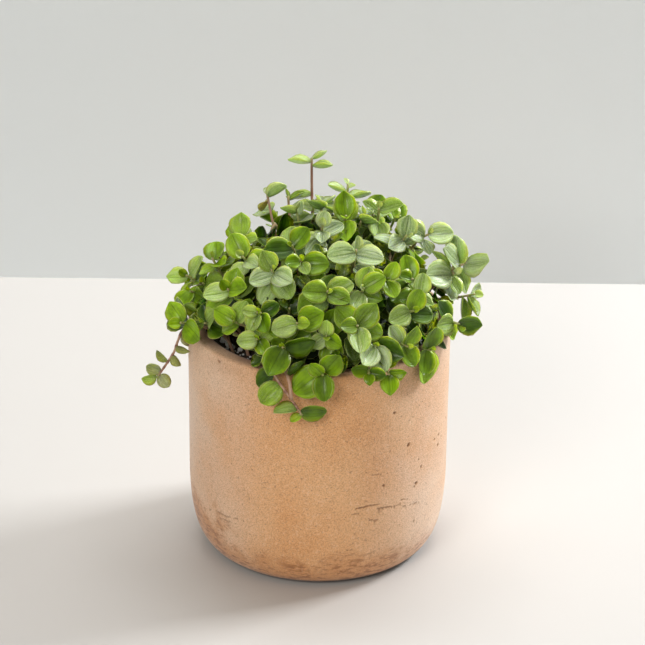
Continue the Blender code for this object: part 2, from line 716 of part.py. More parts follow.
def make_blade(leaf, name, group):
    """One leaf: a disc drawn out to the leaf's outline, cupped, and thickened"""
    shape = bmesh.new()
    ring = outline(leaf["corners"])
    bmesh.ops.create_circle(shape, cap_ends=True, cap_tris=True, segments=len(ring), radius=1.0)
    ends = {}
    for vertex in shape.verts:
        if vertex.co.length < 0.5:
            share, side = LEAF_MIDDLE, 0
        else:
            angle = math.atan2(vertex.co.x, -vertex.co.y) % (2 * math.pi)
            share, side = ring[round(angle / (2 * math.pi) * len(ring)) % len(ring)]
        if side == 0:
            ends[share] = vertex
        vertex.co = blade_point(leaf, share, side) * MM
    crease = shape.edges.get((ends[0.0], ends[LEAF_MIDDLE]))
    bmesh.ops.rotate_edges(shape, edges=[crease])
    mesh = bpy.data.meshes.new(name)
    shape.to_mesh(mesh)
    shape.free()
    blade = bpy.data.objects.new(name, mesh)
    group.objects.link(blade)
    scale = Matrix.Translation(leaf["frame"].translation * (MM - 1.0))
    blade.matrix_world = scale @ leaf["frame"]
    thick = blade.modifiers.new("thickness", "SOLIDIFY")
    thick.thickness = LEAF_THICK * MM
    thick.offset = 0.0
    return blade


def make_node(shoots, group, finish):
    """A stem, its forks and their leaves joined as one solid"""
    stem = make_stem(shoots[0], group, finish)
    rest = collection("leaves of " + stem.name)
    for shoot in shoots[1:]:
        make_stem(shoot, rest, finish)
    for shoot in shoots:
        for index, leaf in enumerate(shoot["leaves"]):
            if leaf["length"] > LEAST_LEAF:
                make_blade(leaf, f"{shoot['name']} leaf {index + 1}", rest)
    join = stem.modifiers.new("leaves", "BOOLEAN")
    join.operation = "UNION"
    join.operand_type = "COLLECTION"
    join.collection = rest
    join.solver = "MANIFOLD"
    baked(stem)
    for piece in list(rest.objects):
        bpy.data.objects.remove(piece)
    bpy.data.collections.remove(rest)


def main():
    """Build the whole object"""
    for old in list(bpy.data.objects):
        bpy.data.objects.remove(old)
    group = collection("potted creeping inch plant")
    cutters = collection("cutters")
    make_pot(group)
    shoots = grow_plant()
    make_soil(shoots, group, cutters)
    green = material("leaf and stem", LEAF_GREEN, 0.5)
    for first in shoots:
        if first["name"] == first["node"]:
            make_node([shoot for shoot in shoots if shoot["node"] == first["name"]], group, green)


main()
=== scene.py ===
"""The looks of a creeping inch plant in a straight-sided clay pot with a rounded foot.

The leaves, stems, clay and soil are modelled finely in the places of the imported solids.
The plant grows here by the same rule and the same chances as its solids, and is then
filled out with the leaves inside the mound. Growth is in mm, finished pieces are in metres.
"""

import json
import random
from math import atan2, cos, degrees, hypot, pi, radians, sin, sqrt

import bmesh
import bpy
import numpy as np
from mathutils import Matrix, Vector, noise
from mathutils.bvhtree import BVHTree

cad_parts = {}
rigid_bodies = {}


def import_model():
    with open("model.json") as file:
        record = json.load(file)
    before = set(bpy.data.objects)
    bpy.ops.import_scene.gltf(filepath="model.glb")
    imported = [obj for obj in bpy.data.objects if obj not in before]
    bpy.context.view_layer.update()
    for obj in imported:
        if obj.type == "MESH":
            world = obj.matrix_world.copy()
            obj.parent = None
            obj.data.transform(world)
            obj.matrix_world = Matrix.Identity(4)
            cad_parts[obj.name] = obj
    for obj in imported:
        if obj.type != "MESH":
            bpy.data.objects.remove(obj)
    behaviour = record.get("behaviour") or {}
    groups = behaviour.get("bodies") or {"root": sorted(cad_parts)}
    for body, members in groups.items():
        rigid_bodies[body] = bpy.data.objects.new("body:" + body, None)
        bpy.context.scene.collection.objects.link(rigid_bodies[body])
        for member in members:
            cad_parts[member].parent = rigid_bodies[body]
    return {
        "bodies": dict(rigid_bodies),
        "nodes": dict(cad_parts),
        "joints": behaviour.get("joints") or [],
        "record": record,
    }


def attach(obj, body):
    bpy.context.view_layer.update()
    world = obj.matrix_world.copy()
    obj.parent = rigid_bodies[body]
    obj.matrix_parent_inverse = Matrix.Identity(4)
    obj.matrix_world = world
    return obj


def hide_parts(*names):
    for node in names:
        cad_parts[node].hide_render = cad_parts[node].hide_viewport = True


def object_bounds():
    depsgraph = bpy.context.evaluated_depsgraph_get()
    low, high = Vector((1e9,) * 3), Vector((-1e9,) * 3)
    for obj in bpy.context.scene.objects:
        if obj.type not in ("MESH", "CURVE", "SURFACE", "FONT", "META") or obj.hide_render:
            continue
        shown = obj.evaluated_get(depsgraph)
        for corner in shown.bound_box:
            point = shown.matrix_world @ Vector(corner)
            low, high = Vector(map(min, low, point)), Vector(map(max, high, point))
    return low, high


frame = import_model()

cad_low, cad_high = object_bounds()

MM = 0.001

# Pot, in mm
POT_RADIUS = 67.5
POT_HEIGHT = 125.5
POT_TAPER = 0.3
POT_WALL = 8.0
HOLLOW_RADIUS = POT_RADIUS - POT_WALL
MID_WALL = POT_RADIUS - POT_WALL / 2
RIM_ROUND = 1.5
FLOOR_THICK = 10.0
FOOT_RADIUS = 50.0
FOOT_HEIGHT = 46.0
FOOT_PULL_DOWN = 0.72
FOOT_PULL_OUT = 0.70
INNER_CORNER = 24.0

# Soil, in mm
SOIL_TOP = 114.0
SOIL_RELIEF = 1.0
GAP = 0.3
FEET_APART = 4.0
FARTHEST_ROOT = 53.0

# Stems, in mm
STEM_RADIUS = 1.0
TIP_RADIUS = 0.55
STEM_STEPS = 4
TIP_PULL = 0.34
TIP_LIFT = 0.7
ARCHES = (0.42, 0.65, 0.9, 1.2)
ROOT_PLACES = ((0.62, 0), (0.56, 0), (0.68, 1), (0.5, 0), (0.62, 5), (0.45, 0), (0.74, 0))
ROOT_TURNS = (0, 4, -4, 8, -8, 12, -12, 17, -17, 23, -23)
FORK_SHARES = (0.75, 0.6, 0.45, 0.3)
FORK_ARCH = 0.6
# Places tested along each stretch of a stem, from the first that is clear of its own root
STRETCH_TESTS = 12
FIRST_TEST = 10
STEM_TO_POT = 0.5

# Leaves, in mm
LEAF_THICK = 0.65
LEAF_WIDTH = 0.9
LEAF_CORNERS = 8
YOUNG_CORNERS = 6
YOUNG_LENGTH = 8.0
FULL_LENGTH = 14.0
FINE_RANKS = (1, 2)
LEAF_MIDDLE = 0.55
CLEARANCE = 0.35
LEAF_TO_POT = 0.9
OWN_CLEARANCE = 0.1
OWN_START = 0.1
BUD_START = 0.4
BASE_SHARE = 0.4
BEND_REACH = 2.5
# The way that is up in the photograph, from which the turn of a leaf round its stem is counted
VIEW_UP = Vector((0.0, 0.436, 0.9))

# The nodes of a stem from its tip down: distance from the tip in mm, and the leaf's angle from the stem
NODE_PLACES = (0.6, 2.2, 4.2, 6.8, 10.2, 14.5, 19.5)
LEAF_TILTS = (34, 58, 72, 80, 86, 92, 96)
TURN_PER_NODE = 137

# Where a leaf is in the way of another, these changes of turn, tilt and size are tried in order
TRIES = (
    (0, 0, 1.0), (0, -8, 1.0), (0, 9, 1.0), (10, 0, 1.0), (-10, 0, 1.0), (8, -12, 0.95),
    (-8, -12, 0.95), (8, 14, 0.95), (-8, 14, 0.95), (20, 0, 0.92), (-20, 0, 0.92),
    (0, -20, 0.9), (0, 22, 0.9), (16, -18, 0.88), (-16, -18, 0.88), (16, 20, 0.88), (-16, 20, 0.88),
    (32, -8, 0.85), (-32, -8, 0.85), (32, 12, 0.85), (-32, 12, 0.85), (0, -30, 0.8), (0, 32, 0.8),
    (24, -26, 0.78), (-24, -26, 0.78), (24, 28, 0.78), (-24, 28, 0.78),
)

# The shoots that face the front, seen from the tip of each. A row gives the tip's place in mm, the way
# it faces as bearing and lift in degrees (-90 is the front), and its leaves from the youngest down, each
# with its turn round the stem, clockwise from the top, its length in mm and, where the rule's own
# won't do, its angle from the stem and its roll round its midrib. A length of 0 is a node with no leaf.
FRONT_SHOOTS = (
    ("tall", (-5, 53, 192), (90, 88),
     ((75, 9, 66), (-90, 12.5, 84), (95, 11, 88), (0, 0), (0, 0), (0, 0), (-85, 14, 86))),
    ("thin_left", (-28, 41, 177), (120, 70),
     ((-60, 4), (42, 12, 60, -30), (-110, 8, 120), (0, 0), (-100, 14, 80, -20), (0, 0), (0, 0))),
    ("thin_right", (-17, 42, 175), (100, 80),
     ((-40, 5, 30, 70), (50, 10, 48), (0, 0), (0, 0), (-90, 9, 86), (80, 6, 86), (0, 0))),
    ("back_bud", (14, 45, 181), (90, 85), ((-40, 4), (60, 5), (-88, 11), (85, 13), (180, 13))),
    ("crown", (13, 12, 177.5), (-88, 32), ((183, 6.5), (-5, 14), (184, 14), (36, 17), (140, 10), (-85, 13))),
    ("swirl", (-4, 38, 171), (-90, 52), ((0, 4), (-80, 9), (60, 12.5), (-122, 12), (115, 12), (-20, 13))),
    ("pale_crown", (1, -2, 178), (-90, 42), ((0, 5), (10, 9), (182, 9.5), (62, 12), (-150, 14.5), (-75, 12))),
    ("left_crown", (-14, -20, 175), (-100, 38), ((-100, 4), (45, 12.5), (-104, 15), (-12, 14), (-165, 12))),
    ("left_dark", (-10, -28, 171), (-95, 26), ((60, 4), (-110, 9), (150, 8), (92, 14), (-50, 9))),
    ("pale_pair", (18, -22, 174), (-90, 50),
     ((10, 7.5, 40, 50), (-108, 15, 74), (106, 14.5, 78), (40, 12), (0, 0))),
    ("pale_rosette", (44, 7, 169), (-78, 38), ((150, 5), (12, 12), (-120, 12, 80), (80, 15), (-70, 15, 76))),
    ("right_mid", (46.5, -30, 162), (-82, 30),
     ((-85, 8.5, 60), (-22, 13.5), (108, 11), (-135, 14), (160, 13))),
    ("right_gloss", (69, 6, 148.5), (-85, 24), ((40, 5), (-94, 17, 82), (150, 11), (190, 13), (20, 12))),
    ("far_right", (75, 16, 150), (-62, 34),
     ((-20, 4), (98, 17, 62, 58), (-72, 18.5, 84), (163, 15, 84), (-20, 14))),
    ("pale_top", (56, 14, 167), (-65, 20), ((0, 4), (92, 14), (-70, 13.5), (-150, 12))),
    ("right_hang", (80, 8, 136), (-35, 14), ((110, 5), (60, 9), (165, 12), (205, 13), (-60, 12))),
    ("right_low", (71, -24, 134), (-78, 8), ((200, 6), (90, 13.5, 62, 40), (-95, 14), (-40, 14), (140, 11))),
    ("right_front", (47, -44, 151), (-78, 24), ((60, 4), (3, 12), (-112, 13.5), (60, 16.5), (12, 16))),
    ("right_foot", (56, -48, 131), (-78, 16),
     ((0, 4.5), (-8, 14.5), (186, 13), (166, 18.5), (-140, 13), (-50, 15))),
    ("foot_lime", (35, -68, 127), (-78, 6), ((185, 11), (80, 9), (-70, 9), (20, 11))),
    ("foot_shade", (25, -71, 129), (-95, -6), ((180, 7), (110, 9.5), (-80, 9))),
    ("front_bright", (19, -62, 151), (-88, 24),
     ((-95, 9.5, 58), (176, 14.5), (42, 15), (105, 13.5), (-45, 14))),
    ("front_high", (4, -50, 164), (-90, 28), ((100, 3.5), (-97, 13.5), (115, 12.5), (66, 14), (-120, 17))),
    ("front_left", (-11, -62, 152), (-98, 24),
     ((95, 7.5, 62), (-106, 13, 74), (68, 14.5), (-108, 15.5), (0, 0))),
    ("front_small", (3.5, -62, 145), (-92, 20), ((170, 4), (0, 9), (125, 9.5), (-125, 9.5))),
    ("pale_left", (-24, -36, 169), (-98, 32),
     ((75, 4), (-30, 11.5), (122, 13), (-112, 13), (142, 15), (-155, 15))),
    ("left_bright", (-46, -36, 158), (-92, 30), ((-40, 6.5), (92, 13), (-100, 13.5), (10, 13), (-138, 16.5))),
    ("far_left", (-69, 14, 142), (-105, 32),
     ((-60, 5), (-102, 12), (30, 13), (68, 14.5), (-40, 12), (170, 13))),
    ("left_fold", (-39, -19, 168), (-105, 32), ((-60, 5), (-30, 14), (120, 10.5), (75, 12), (-130, 12))),
    ("left_up", (-41, 4, 169), (-110, 66), ((-5, 13, 52), (-40, 12, 60), (100, 11, 72), (170, 12))),
    ("left_lime", (-55, -1, 159), (-110, 62), ((30, 4), (-15, 13, 82), (110, 10), (-125, 10))),
    ("left_reach", (-70, -34, 138), (-94, 26), ((-105, 7), (-28, 12.5), (128, 14.5), (-62, 20, 95))),
    ("front_lime", (-31, -62, 143), (-100, 22), ((30, 4), (-98, 10.5), (145, 10), (60, 9), (0, 0))),
    ("front_wide", (-18, -69, 142), (-98, 14), ((0, 4), (-155, 16.5), (88, 15.5, 92, 35), (-60, 11))),
    ("front_foot", (2, -75, 130), (-88, 14),
     ((-40, 9.5, 68), (176, 13.5), (42, 13.5), (-124, 18.5), (98, 14), (15, 14), (-165, 15))),
    ("front_notched", (28, -64, 141), (-86, 18), ((10, 4), (-140, 13.5), (160, 14.5), (97, 18.5), (-30, 12))),
    ("left_inner", (-31, -57, 155.5), (-100, 22), ((60, 4), (-85, 8), (-160, 11), (155, 11), (60, 10))),
    ("back_lime", (39, 37, 166), (-80, 42), ((150, 4), (-12, 10), (18, 14.5), (110, 12), (-95, 12))),
    ("back_olive", (27, 36, 170), (-85, 48), ((-160, 4), (28, 11.5), (170, 12), (75, 12), (-150, 12))),
    ("mid_right", (34, -36, 165), (-88, 28), ((-150, 4), (28, 10), (160, 11), (-70, 11), (95, 10))),
    ("right_olive", (51, -36, 157), (-72, 22), ((-160, 4), (8, 11), (100, 11), (-95, 11))),
    ("mid_bright", (22, -46, 164), (-88, 28), ((-100, 4), (62, 12.5), (15, 12), (-150, 11), (110, 11))),
    ("rim_left", (-43, -50, 147), (-105, 22), ((60, 4), (-60, 12), (30, 12), (-120, 10))),
    ("rim_far_left", (-58, -36, 139), (-110, 24), ((-20, 4), (60, 12), (110, 13), (-30, 12))),
    ("rim_right", (44, -58, 138), (-68, 12), ((60, 4), (20, 12), (150, 12), (-40, 12))),
)

# Two shoots trail over the rim. The stem goes through the places given, in mm.
TRAILING_SHOOTS = (
    ("trail_front", ((-30, -45, 114), (-30, -50, 125), (-25, -61, 130), (-21, -69.5, 125.5),
                     (-15.5, -73, 118.5), (-11.5, -74.5, 113), (-8, -76, 108)),
     ((180, 6.5, 90, 120), (-10, 13.5, 42, -60), (180, 12, 125, 150), (0, 0), (0, 0), (0, 0),
      (180, 13.5, 78, 85), (185, 14, 120, 75))),
    ("trail_left", ((-46, -8, 114), (-50, -8.5, 126), (-60, -10, 131), (-70, -13, 123),
                    (-74, -16, 113), (-79, -20, 106), (-83, -23, 101)),
     ((15, 8, 45, 60), (180, 8, 75, 100), (0, 8, 76, 60), (0, 0), (0, 8, 100, 35), (180, 7, 60, 45),
      (180, 8, 85, 10), (180, 8, 85, 10))),
)
# Shoots that fork from another's stem
FORKS = {
    "foot_shade": "front_notched", "foot_lime": "rim_right", "rim_left": "left_inner",
    "right_hang": "right_gloss", "back_olive": "back_lime", "right_olive": "right_front",
}
# Leaves that the rule adds below those listed, in mm, and the shoots that are bare there
LOWER_LEAVES = (14,)
BARE_BELOW = ("left_reach", "rim_far_left", "pale_top")
TRAIL_CUTS = 2

# Rows of shoots by rule round the back of the mound: how many, how far out and how high in mm,
# and the bearings in degrees from the first to the last
BACK_ROWS = (
    (5, 31, 174, 40, 140),
    (7, 55, 157, 12, 168),
    (6, 70, 136, 20, 160),
    (4, 60, 128, 35, 150),
)
BACK_LEAVES = (5, 10, 13.5, 15)
# How far up a back shoot faces at this height, in degrees, and how much less for each mm below it
BACK_LIFT = 62
BACK_HIGH = 180
LIFT_LOST = 0.8
# Places in the rows that stay open, where the thin stems stand free
OPEN_PLACES = ("back_1_5",)

# Leaves inside the mound, lower down on each stem
INNER_STEP = 6.5
INNER_FOOT = 9.0
INNER_LEAST = 9.0
INNER_MOST = 15.0
# Shoots inside the mound, forked from the stems: how many, how far out the outermost is, and the
# height of the highest and the lowest
INNER_SHOOTS = 64
INNER_REACH = 66.0
INNER_HIGH = 166.0
INNER_LOW = 131.0
INNER_LEAVES = (9, 12, 14, 14, 13)
# How far up the highest of them faces in degrees, and how much less the lowest
INNER_LIFT = 85
INNER_LEAN = 60
GOLDEN_ANGLE = 137.5
# Shoots that fill the sides and the ridge: the tip's place in mm, its facing, and its youngest leaves
SIDE_SHOOTS = (
    ("right_fill_high", (71, 26, 145), (-80, 26), ((0, 4), (-24, 17), (146, 15), (70, 10))),
    ("right_fill_low", (69, 14, 137), (-80, 22), ((0, 4), (-160, 15), (20, 13), (110, 12))),
    ("right_ridge", (60, 16, 168), (-80, 40), ((0, 4), (88, 15), (-90, 10))),
    ("ridge_left", (-15, 30, 172), (-92, 62), ((0, 4), (-86, 14), (88, 13), (0, 12), (180, 14))),
    ("ridge_mid", (-3, 32, 179), (-88, 66), ((0, 4), (-92, 13), (84, 14), (10, 12), (175, 13))),
    ("ridge_right", (30, 24, 177), (-86, 60), ((0, 4), (92, 13), (-88, 12), (0, 12), (180, 13))),
    ("left_fill_high", (-60, 4, 142.4), (-100, 28), ((0, 4), (88, 15), (-140, 13), (14, 14), (-60, 12))),
    ("left_fill_low", (-66.5, 0, 139.6), (-100, 20), ((0, 4), (-150, 12), (120, 12), (60, 12))),
    ("left_fill_rim", (-54, -8, 138.5), (-100, 24), ((0, 4), (170, 16), (-80, 12), (60, 12))),
)
SIDE_LEAVES = (12,)

# Fine leaves: depths as shares of a leaf's length, the twist in degrees
GROOVE = 0.034
KEEL = 0.006
BLADE_BODY = 0.02
FINE_CUP = 1.5
HOLLOW = 0.095
TWIST = 16
RIPPLE = 0.35
RIPPLES = 9
RIPPLE_LENGTH = 14
BLADE_WELD = 0.0015
# The kinds of blade: columns, rows and how blunt the tip is
BLADES = {"round": (6, 8, 4.4), "pointed": (6, 8, 2.6), "plain": (4, 5, 3.5)}
POINTED_SHOOTS = ("crown", "far_right", "left_up", "right_low", "tall", "foot_lime")
POINTED_SHARE = 0.3

# Fine stems, in mm where they are lengths. What is welded is in metres.
STEM_WELD = 0.00001
STEM_CUTS = 5
STEM_SIDES = 8
JOINT_SWELL = 0.3
JOINT_REACH = 1.0
STEM_TRIM = 0.88
STEM_BURIED = 4.0
# How far back from the tip a stem is green, in mm
GREEN_REACH = 16
BROWN_REACH = 3

# How yellow-green and how silvery the leaves of each shoot are. The silver is partly the leaves' own bloom
# and partly a painted sheen, strongest on the shoots that face up at the top of the mound
TONES = {
    "tall": (0.5, 0.8), "thin_left": (0.1, 0.85), "thin_right": (0.2, 0.3), "back_bud": (0.5, 0.9),
    "crown": (0.7, 0.0), "swirl": (0.2, 0.85), "pale_crown": (0.1, 0.95), "left_crown": (0.45, 0.25),
    "pale_pair": (0.1, 1.0), "pale_rosette": (0.05, 1.0), "right_mid": (0.5, 0.2), "pale_top": (0.25, 0.95),
    "right_gloss": (0.15, 0.6), "far_right": (0.3, 0.7), "right_hang": (0.3, 0.6), "right_low": (0.4, 0.2),
    "right_front": (0.45, 0.25), "right_foot": (0.65, 0.3), "foot_lime": (0.95, 0.05),
    "foot_shade": (0.5, 0.0), "front_bright": (0.6, 0.4), "front_high": (0.4, 0.4),
    "front_left": (0.55, 0.2), "pale_left": (0.4, 0.75), "left_bright": (0.8, 0.25), "far_left": (0.8, 0.15),
    "left_fold": (0.7, 0.3), "left_up": (0.9, 0.1), "left_lime": (0.95, 0.05), "left_reach": (0.75, 0.1),
    "front_lime": (0.8, 0.15), "front_wide": (0.55, 0.25), "front_foot": (0.8, 0.15),
    "front_notched": (0.5, 0.6), "left_inner": (0.6, 0.2), "back_lime": (0.7, 0.35),
    "back_olive": (0.45, 0.25), "mid_right": (0.55, 0.25), "right_olive": (0.4, 0.15),
    "mid_bright": (0.6, 0.4), "rim_left": (0.7, 0.1), "trail_front": (0.7, 0.4), "trail_left": (0.4, 0.6),
    "left_dark": (0.25, 0.0), "front_small": (0.75, 0.25), "ridge_left": (0.2, 1.0),
    "ridge_mid": (0.2, 1.0), "ridge_right": (0.35, 0.7), "right_fill_high": (0.2, 1.0),
    "right_fill_low": (0.3, 0.9), "right_ridge": (0.2, 1.0), "left_fill_high": (0.5, 0.05),
    "left_fill_low": (0.65, 0.1), "left_fill_rim": (0.8, 0.05), "back_1_1": (0.35, 0.8),
    "back_1_2": (0.2, 0.85), "back_1_3": (0.15, 0.9), "back_1_4": (0.15, 0.9),
}
USUAL_TONE = (0.45, 0.3)
# The share of the leaves that are paler or darker than their neighbours
PALE_SHARE = 0.26
DARK_SHARE = 0.32
PALEST = 0.75
# How the bands across a blade are stretched from its streaks
BAND_STRETCH = (0.3, 0.6, 1.7)
# Shoots with a dry leaf, its rank, and shoots whose leaves are purple or whose stems are brown
DRY_SHOOTS = ("thin_left", "thin_right")
DRY_RANK = 2
PURPLE_SHOOTS = ("trail_left",)
BROWN_SHOOTS = ("tall", "thin_left", "thin_right", "trail_left", "trail_front")

# The two sides of a blade: deep green, lime green, silver (the leaves' own bloom with a painted sheen) and
# purple, then the margin's width, how rough it is and how much gloss it has
LEAF_SIDES = {
    "leaf face": ((0.050, 0.135, 0.002), (0.36, 0.60, 0.004), (0.48, 0.64, 0.075), (0.26, 0.17, 0.14),
                  0.075, 0.34, 0.24),
    "leaf back": ((0.14, 0.23, 0.02), (0.36, 0.49, 0.035), (0.46, 0.53, 0.22), (0.42, 0.27, 0.31),
                  0.05, 0.45, 0.0),
}
LEAF_PALE = (0.64, 0.75, 0.48)
LEAF_MARGIN = (0.64, 0.78, 0.20)
LEAF_FROST = (0.70, 0.80, 0.44)
LEAF_DRY = (0.23, 0.13, 0.06)
# How much the dark lines of a blade's pattern show, and how dark its base is painted as shade
LEAF_DARKS = (("Midrib", 0.16), ("Bands", 0.13), ("Base", 0.52))
STEM_BROWN = (0.50, 0.30, 0.20)
STEM_GREEN = (0.27, 0.33, 0.08)
STEM_LIGHT = (0.56, 0.38, 0.27)
STEM_SHEATH = (0.24, 0.10, 0.07)

# Clay's colours
CLAY_DEEP = (0.80, 0.415, 0.18)
CLAY_LIGHT = (0.87, 0.52, 0.272)
CLAY_DUST_AND_HIGHLIGHT = (0.91, 0.745, 0.61)
CLAY_SAND = (0.64, 0.59, 0.54)
WHITE = (1.0, 1.0, 1.0)
DARK_GRAIN = (0.38, 0.185, 0.08)
LIGHT_GRAIN = (0.97, 0.76, 0.56)
COARSE_GRAIN = (0.28, 0.13, 0.06)
FOOT_STAIN = (0.54, 0.225, 0.07)
FOOT_WEAR = (0.25, 0.085, 0.03)
# Near black, painted as the shadow where the pot meets the floor
CONTACT_SHADOW = (0.05, 0.025, 0.015)
RIM_DARKER = (0.30, 0.15, 0.07)
CLAY_DARKENED = (0.23, 0.105, 0.05)
PIT_DIRT = (0.27, 0.14, 0.07)
# Where the clay is stained, worn, paler with dust and a painted highlight, painted with a contact shadow, or
# darker near the rim, in metres. A pair is where a mark starts and where it is full.
STAIN_ACROSS = (-0.034, -0.067)
STAIN_ALONG = (0.040, -0.015)
STAIN_EDGE = (-0.016, 0.001)
STAIN_HEIGHT = 0.012
# How high the stain's patches are all round, and how much higher where the stain is highest
PATCH_HEIGHT = 0.014
PATCH_HIGHER = 0.017
FOOT_BAND = (0.012, 0.003)
# The heights of a near-black band at the very foot, painted as the shadow where the pot meets the floor
CONTACT_SHADOW_BAND = (0.0046, 0.0022)
DUST_AND_HIGHLIGHT_SIDES = (0.012, 0.062)
RIM_BAND = (0.108, 0.1262)

# Fine pot: its sides, the height of a row of its wall in mm, and the steps of its round stretches
FINE_SIDES = 192
SPIN_WELD = 0.00002
WALL_ROW = 1.9
FINE_FOOT = 26
FINE_CORNER = 10
RIM_STEPS = 4
CLAY_UNEVEN = 0.12
FLAW_CUTS = 4
# Flaws lie between these heights in metres, and the faces nearer to one than the margin in mm are cut
FLAWS_LOW, FLAWS_HIGH = 0.004, 0.124
FLAW_MARGIN = 1.6
# A pit is full of dirt from this depth on, in mm
DIRTY_DEPTH = 0.35
INNER_ROWS = 16
# Rows of the floor and the underside as shares of their radius, and rows on the rim in mm from its middle
FLOOR_ROW = 0.3
UNDERSIDE_ROWS = (0.7, 0.35, 0.0)
RIM_ROWS = (-1.2, 1.2)
# Heights and distances from the middle in metres: the clay is even up to the first two, and its inside
# is darker from the third on, with an edge as soft as the fourth
EVEN_LOW = 0.0005
EVEN_NEAR = 0.02
DARKENED_FROM = 0.03
DARKENED_EDGE = 0.002

# Pits in the clay: bearing in degrees, height, half width and depth in mm
PITS = (
    (-47, 78, 1.0, 0.9), (-23.8, 66.5, 0.8, 0.9), (-23.2, 72.3, 0.7, 0.8), (-19.7, 69.2, 0.5, 0.6),
    (-27.7, 71.9, 0.6, 0.7), (-55.3, 99.3, 0.8, 0.8), (-33.5, 93.9, 0.4, 0.5), (-11.9, 75.7, 0.7, 0.7),
    (-40.4, 66.6, 0.5, 0.5), (-60.1, 59.1, 0.7, 0.8), (-41.5, 53.4, 0.9, 0.9), (-42.6, 52, 0.5, 0.6),
    (-68.6, 68.9, 0.4, 0.4), (-166.9, 58.2, 0.6, 0.6), (-168.3, 37.5, 0.7, 0.7), (-76.4, 24.7, 0.5, 0.6),
    (-74.5, 24.9, 0.4, 0.5), (-41.8, 31.3, 0.5, 0.6), (-145.9, 32.5, 0.6, 0.6), (-138, 122, 0.9, 0.6),
    (-38.4, 61.7, 0.8, 0.4), (20, 84, 0.8, 0.8), (64, 41, 0.9, 0.8), (112, 70, 0.7, 0.7), (150, 96, 0.8, 0.7),
)
# Cracks in the clay: bearing and height of both ends, half width and depth in mm
CRACKS = (
    (-72.8, 48.9, -66, 49.5, 0.39, 0.72), (-66, 49.5, -61, 48.8, 0.24, 0.48),
    (-62.8, 46.9, -54, 45.2, 0.42, 0.44), (-54, 45.2, -51, 45.6, 0.21, 0.32),
    (-49.3, 43.2, -38.9, 41, 0.24, 0.4), (-75, 45.7, -71.6, 45.9, 0.28, 0.56),
    (-66.8, 41, -62.2, 39.6, 0.35, 0.48), (-50.9, 47.7, -48.4, 46.9, 0.28, 0.4),
    (-65.9, 66.9, -61.5, 66.1, 0.35, 0.24), (-141.5, 34.9, -134, 34.6, 0.35, 0.4),
    (-134, 34.6, -127.5, 36.4, 0.28, 0.32), (-139, 31.6, -127.8, 33.2, 0.28, 0.32),
    (-66.4, 20.4, -63.5, 20.4, 0.28, 0.4), (84, 52, 96, 53.5, 0.35, 0.48), (98, 50, 105, 50.5, 0.28, 0.4),
)

# Fine soil, in mm
SOIL_FINE_SIDES = 144
SOIL_FINE_RINGS = 46
SOIL_CORNER_STEPS = 3
CLOD = 1.3
SOIL_COLOURS = ((0.022, 0.013, 0.009), (0.060, 0.036, 0.022))
SOIL_GRAIN = (0.16, 0.11, 0.07)
PERLITE_COLOURS = ((0.86, 0.85, 0.82), (0.98, 0.97, 0.94))
BARK_COLOURS = ((0.025, 0.014, 0.009), (0.14, 0.075, 0.045))
PERLITE_COUNT = 90
BARK_COUNT = 230
PERLITE_SIZES = (0.8, 3.0)
BARK_SIZES = (1.5, 6.5)
# How high they are and how far their middle is above the soil, as shares of their size
PERLITE_SHAPE = (0.8, 0.22)
BARK_SHAPE = (0.42, 0.1)
# How far their middles stay from the pot's wall
FROM_WALL = 2.5
# White grains that show between the leaves and the rim: x, y and size
PERLITE_SEEN = (
    (-48.4, -7.2, 5.8), (-46.4, -11.2, 5.2), (-44.2, -14.6, 4.0), (-49.6, -2.6, 3.0), (-43.2, -17.8, 1.8),
    (-38.7, -22.2, 1.5), (-47.0, -14.0, 2.0), (-41.5, -19.5, 1.2), (-35.0, -25.5, 1.3),
)

# The middle of those grains and the room round it in mm, where no inner leaf may hide them
GRAINS_SEEN = Vector((-46.0, -11.0, 116.0))
GRAINS_ROOM = 6

# Camera: fitted to the pot's outline in the photograph
LENS = 189.0
SENSOR = 36.0
CAMERA_AIM = Vector((0.00159, 0.0, 0.12255))
CAMERA_DISTANCE = 1.742
CAMERA_PITCH = 25.82
CAMERA_ROLL = 0.65
# The way from the camera's aim back to the camera
SIGHT = Vector((0, -cos(radians(CAMERA_PITCH)), sin(radians(CAMERA_PITCH))))

# Stage and light
WALL_FOOT = 0.312
STAGE_SIZE = 8.0
FLOOR_COLOUR = (0.60, 0.580, 0.556)
BACKDROP_COLOUR = (0.80, 0.85, 0.866)
LIGHT_AIM = Vector((0, 0, 0.11))
# Lights: bearing, lift, distance, size, power and colour
LIGHTS = {
    "window": (24, 33, 1.6, (0.45, 0.45), 26.5, (0.96, 0.98, 1.0)),
    "overhead": (80, 74, 1.3, (1.0, 0.7), 10.5, (1.0, 1.0, 1.0)),
    "fill": (-114, 32, 1.6, (0.6, 0.6), 9.6, (1.0, 0.97, 0.93)),
}
WORLD_COLOUR = (1.0, 0.93, 0.85, 1.0)
WORLD_STRENGTH = 0.31


# Growth of the plant, in mm


def held(value):
    """A value held between 0 and 1"""
    return min(max(value, 0.0), 1.0)


def heading(bearing, lift):
    """The direction of a bearing and a lift in degrees"""
    flat = cos(radians(lift))
    turn = radians(bearing)
    return Vector((flat * cos(turn), flat * sin(turn), sin(radians(lift))))


def bezier(start, pull, push, end, share):
    """A point of a cubic curve"""
    rest = 1.0 - share
    return (start * rest**3 + pull * (3 * rest**2 * share)
            + push * (3 * rest * share**2) + end * share**3)


def arch(root, tip, facing, height):
    """The stem's line from the soil to its tip, higher where it has to clear the rim"""
    rise = (tip - root).length
    pull = root + Vector((0, 0, height * rise))
    push = tip - facing * (TIP_PULL * rise) + Vector((0, 0, (height - ARCHES[0]) * TIP_LIFT * rise))
    return [bezier(root, pull, push, tip, step / STEM_STEPS) for step in range(STEM_STEPS + 1)]


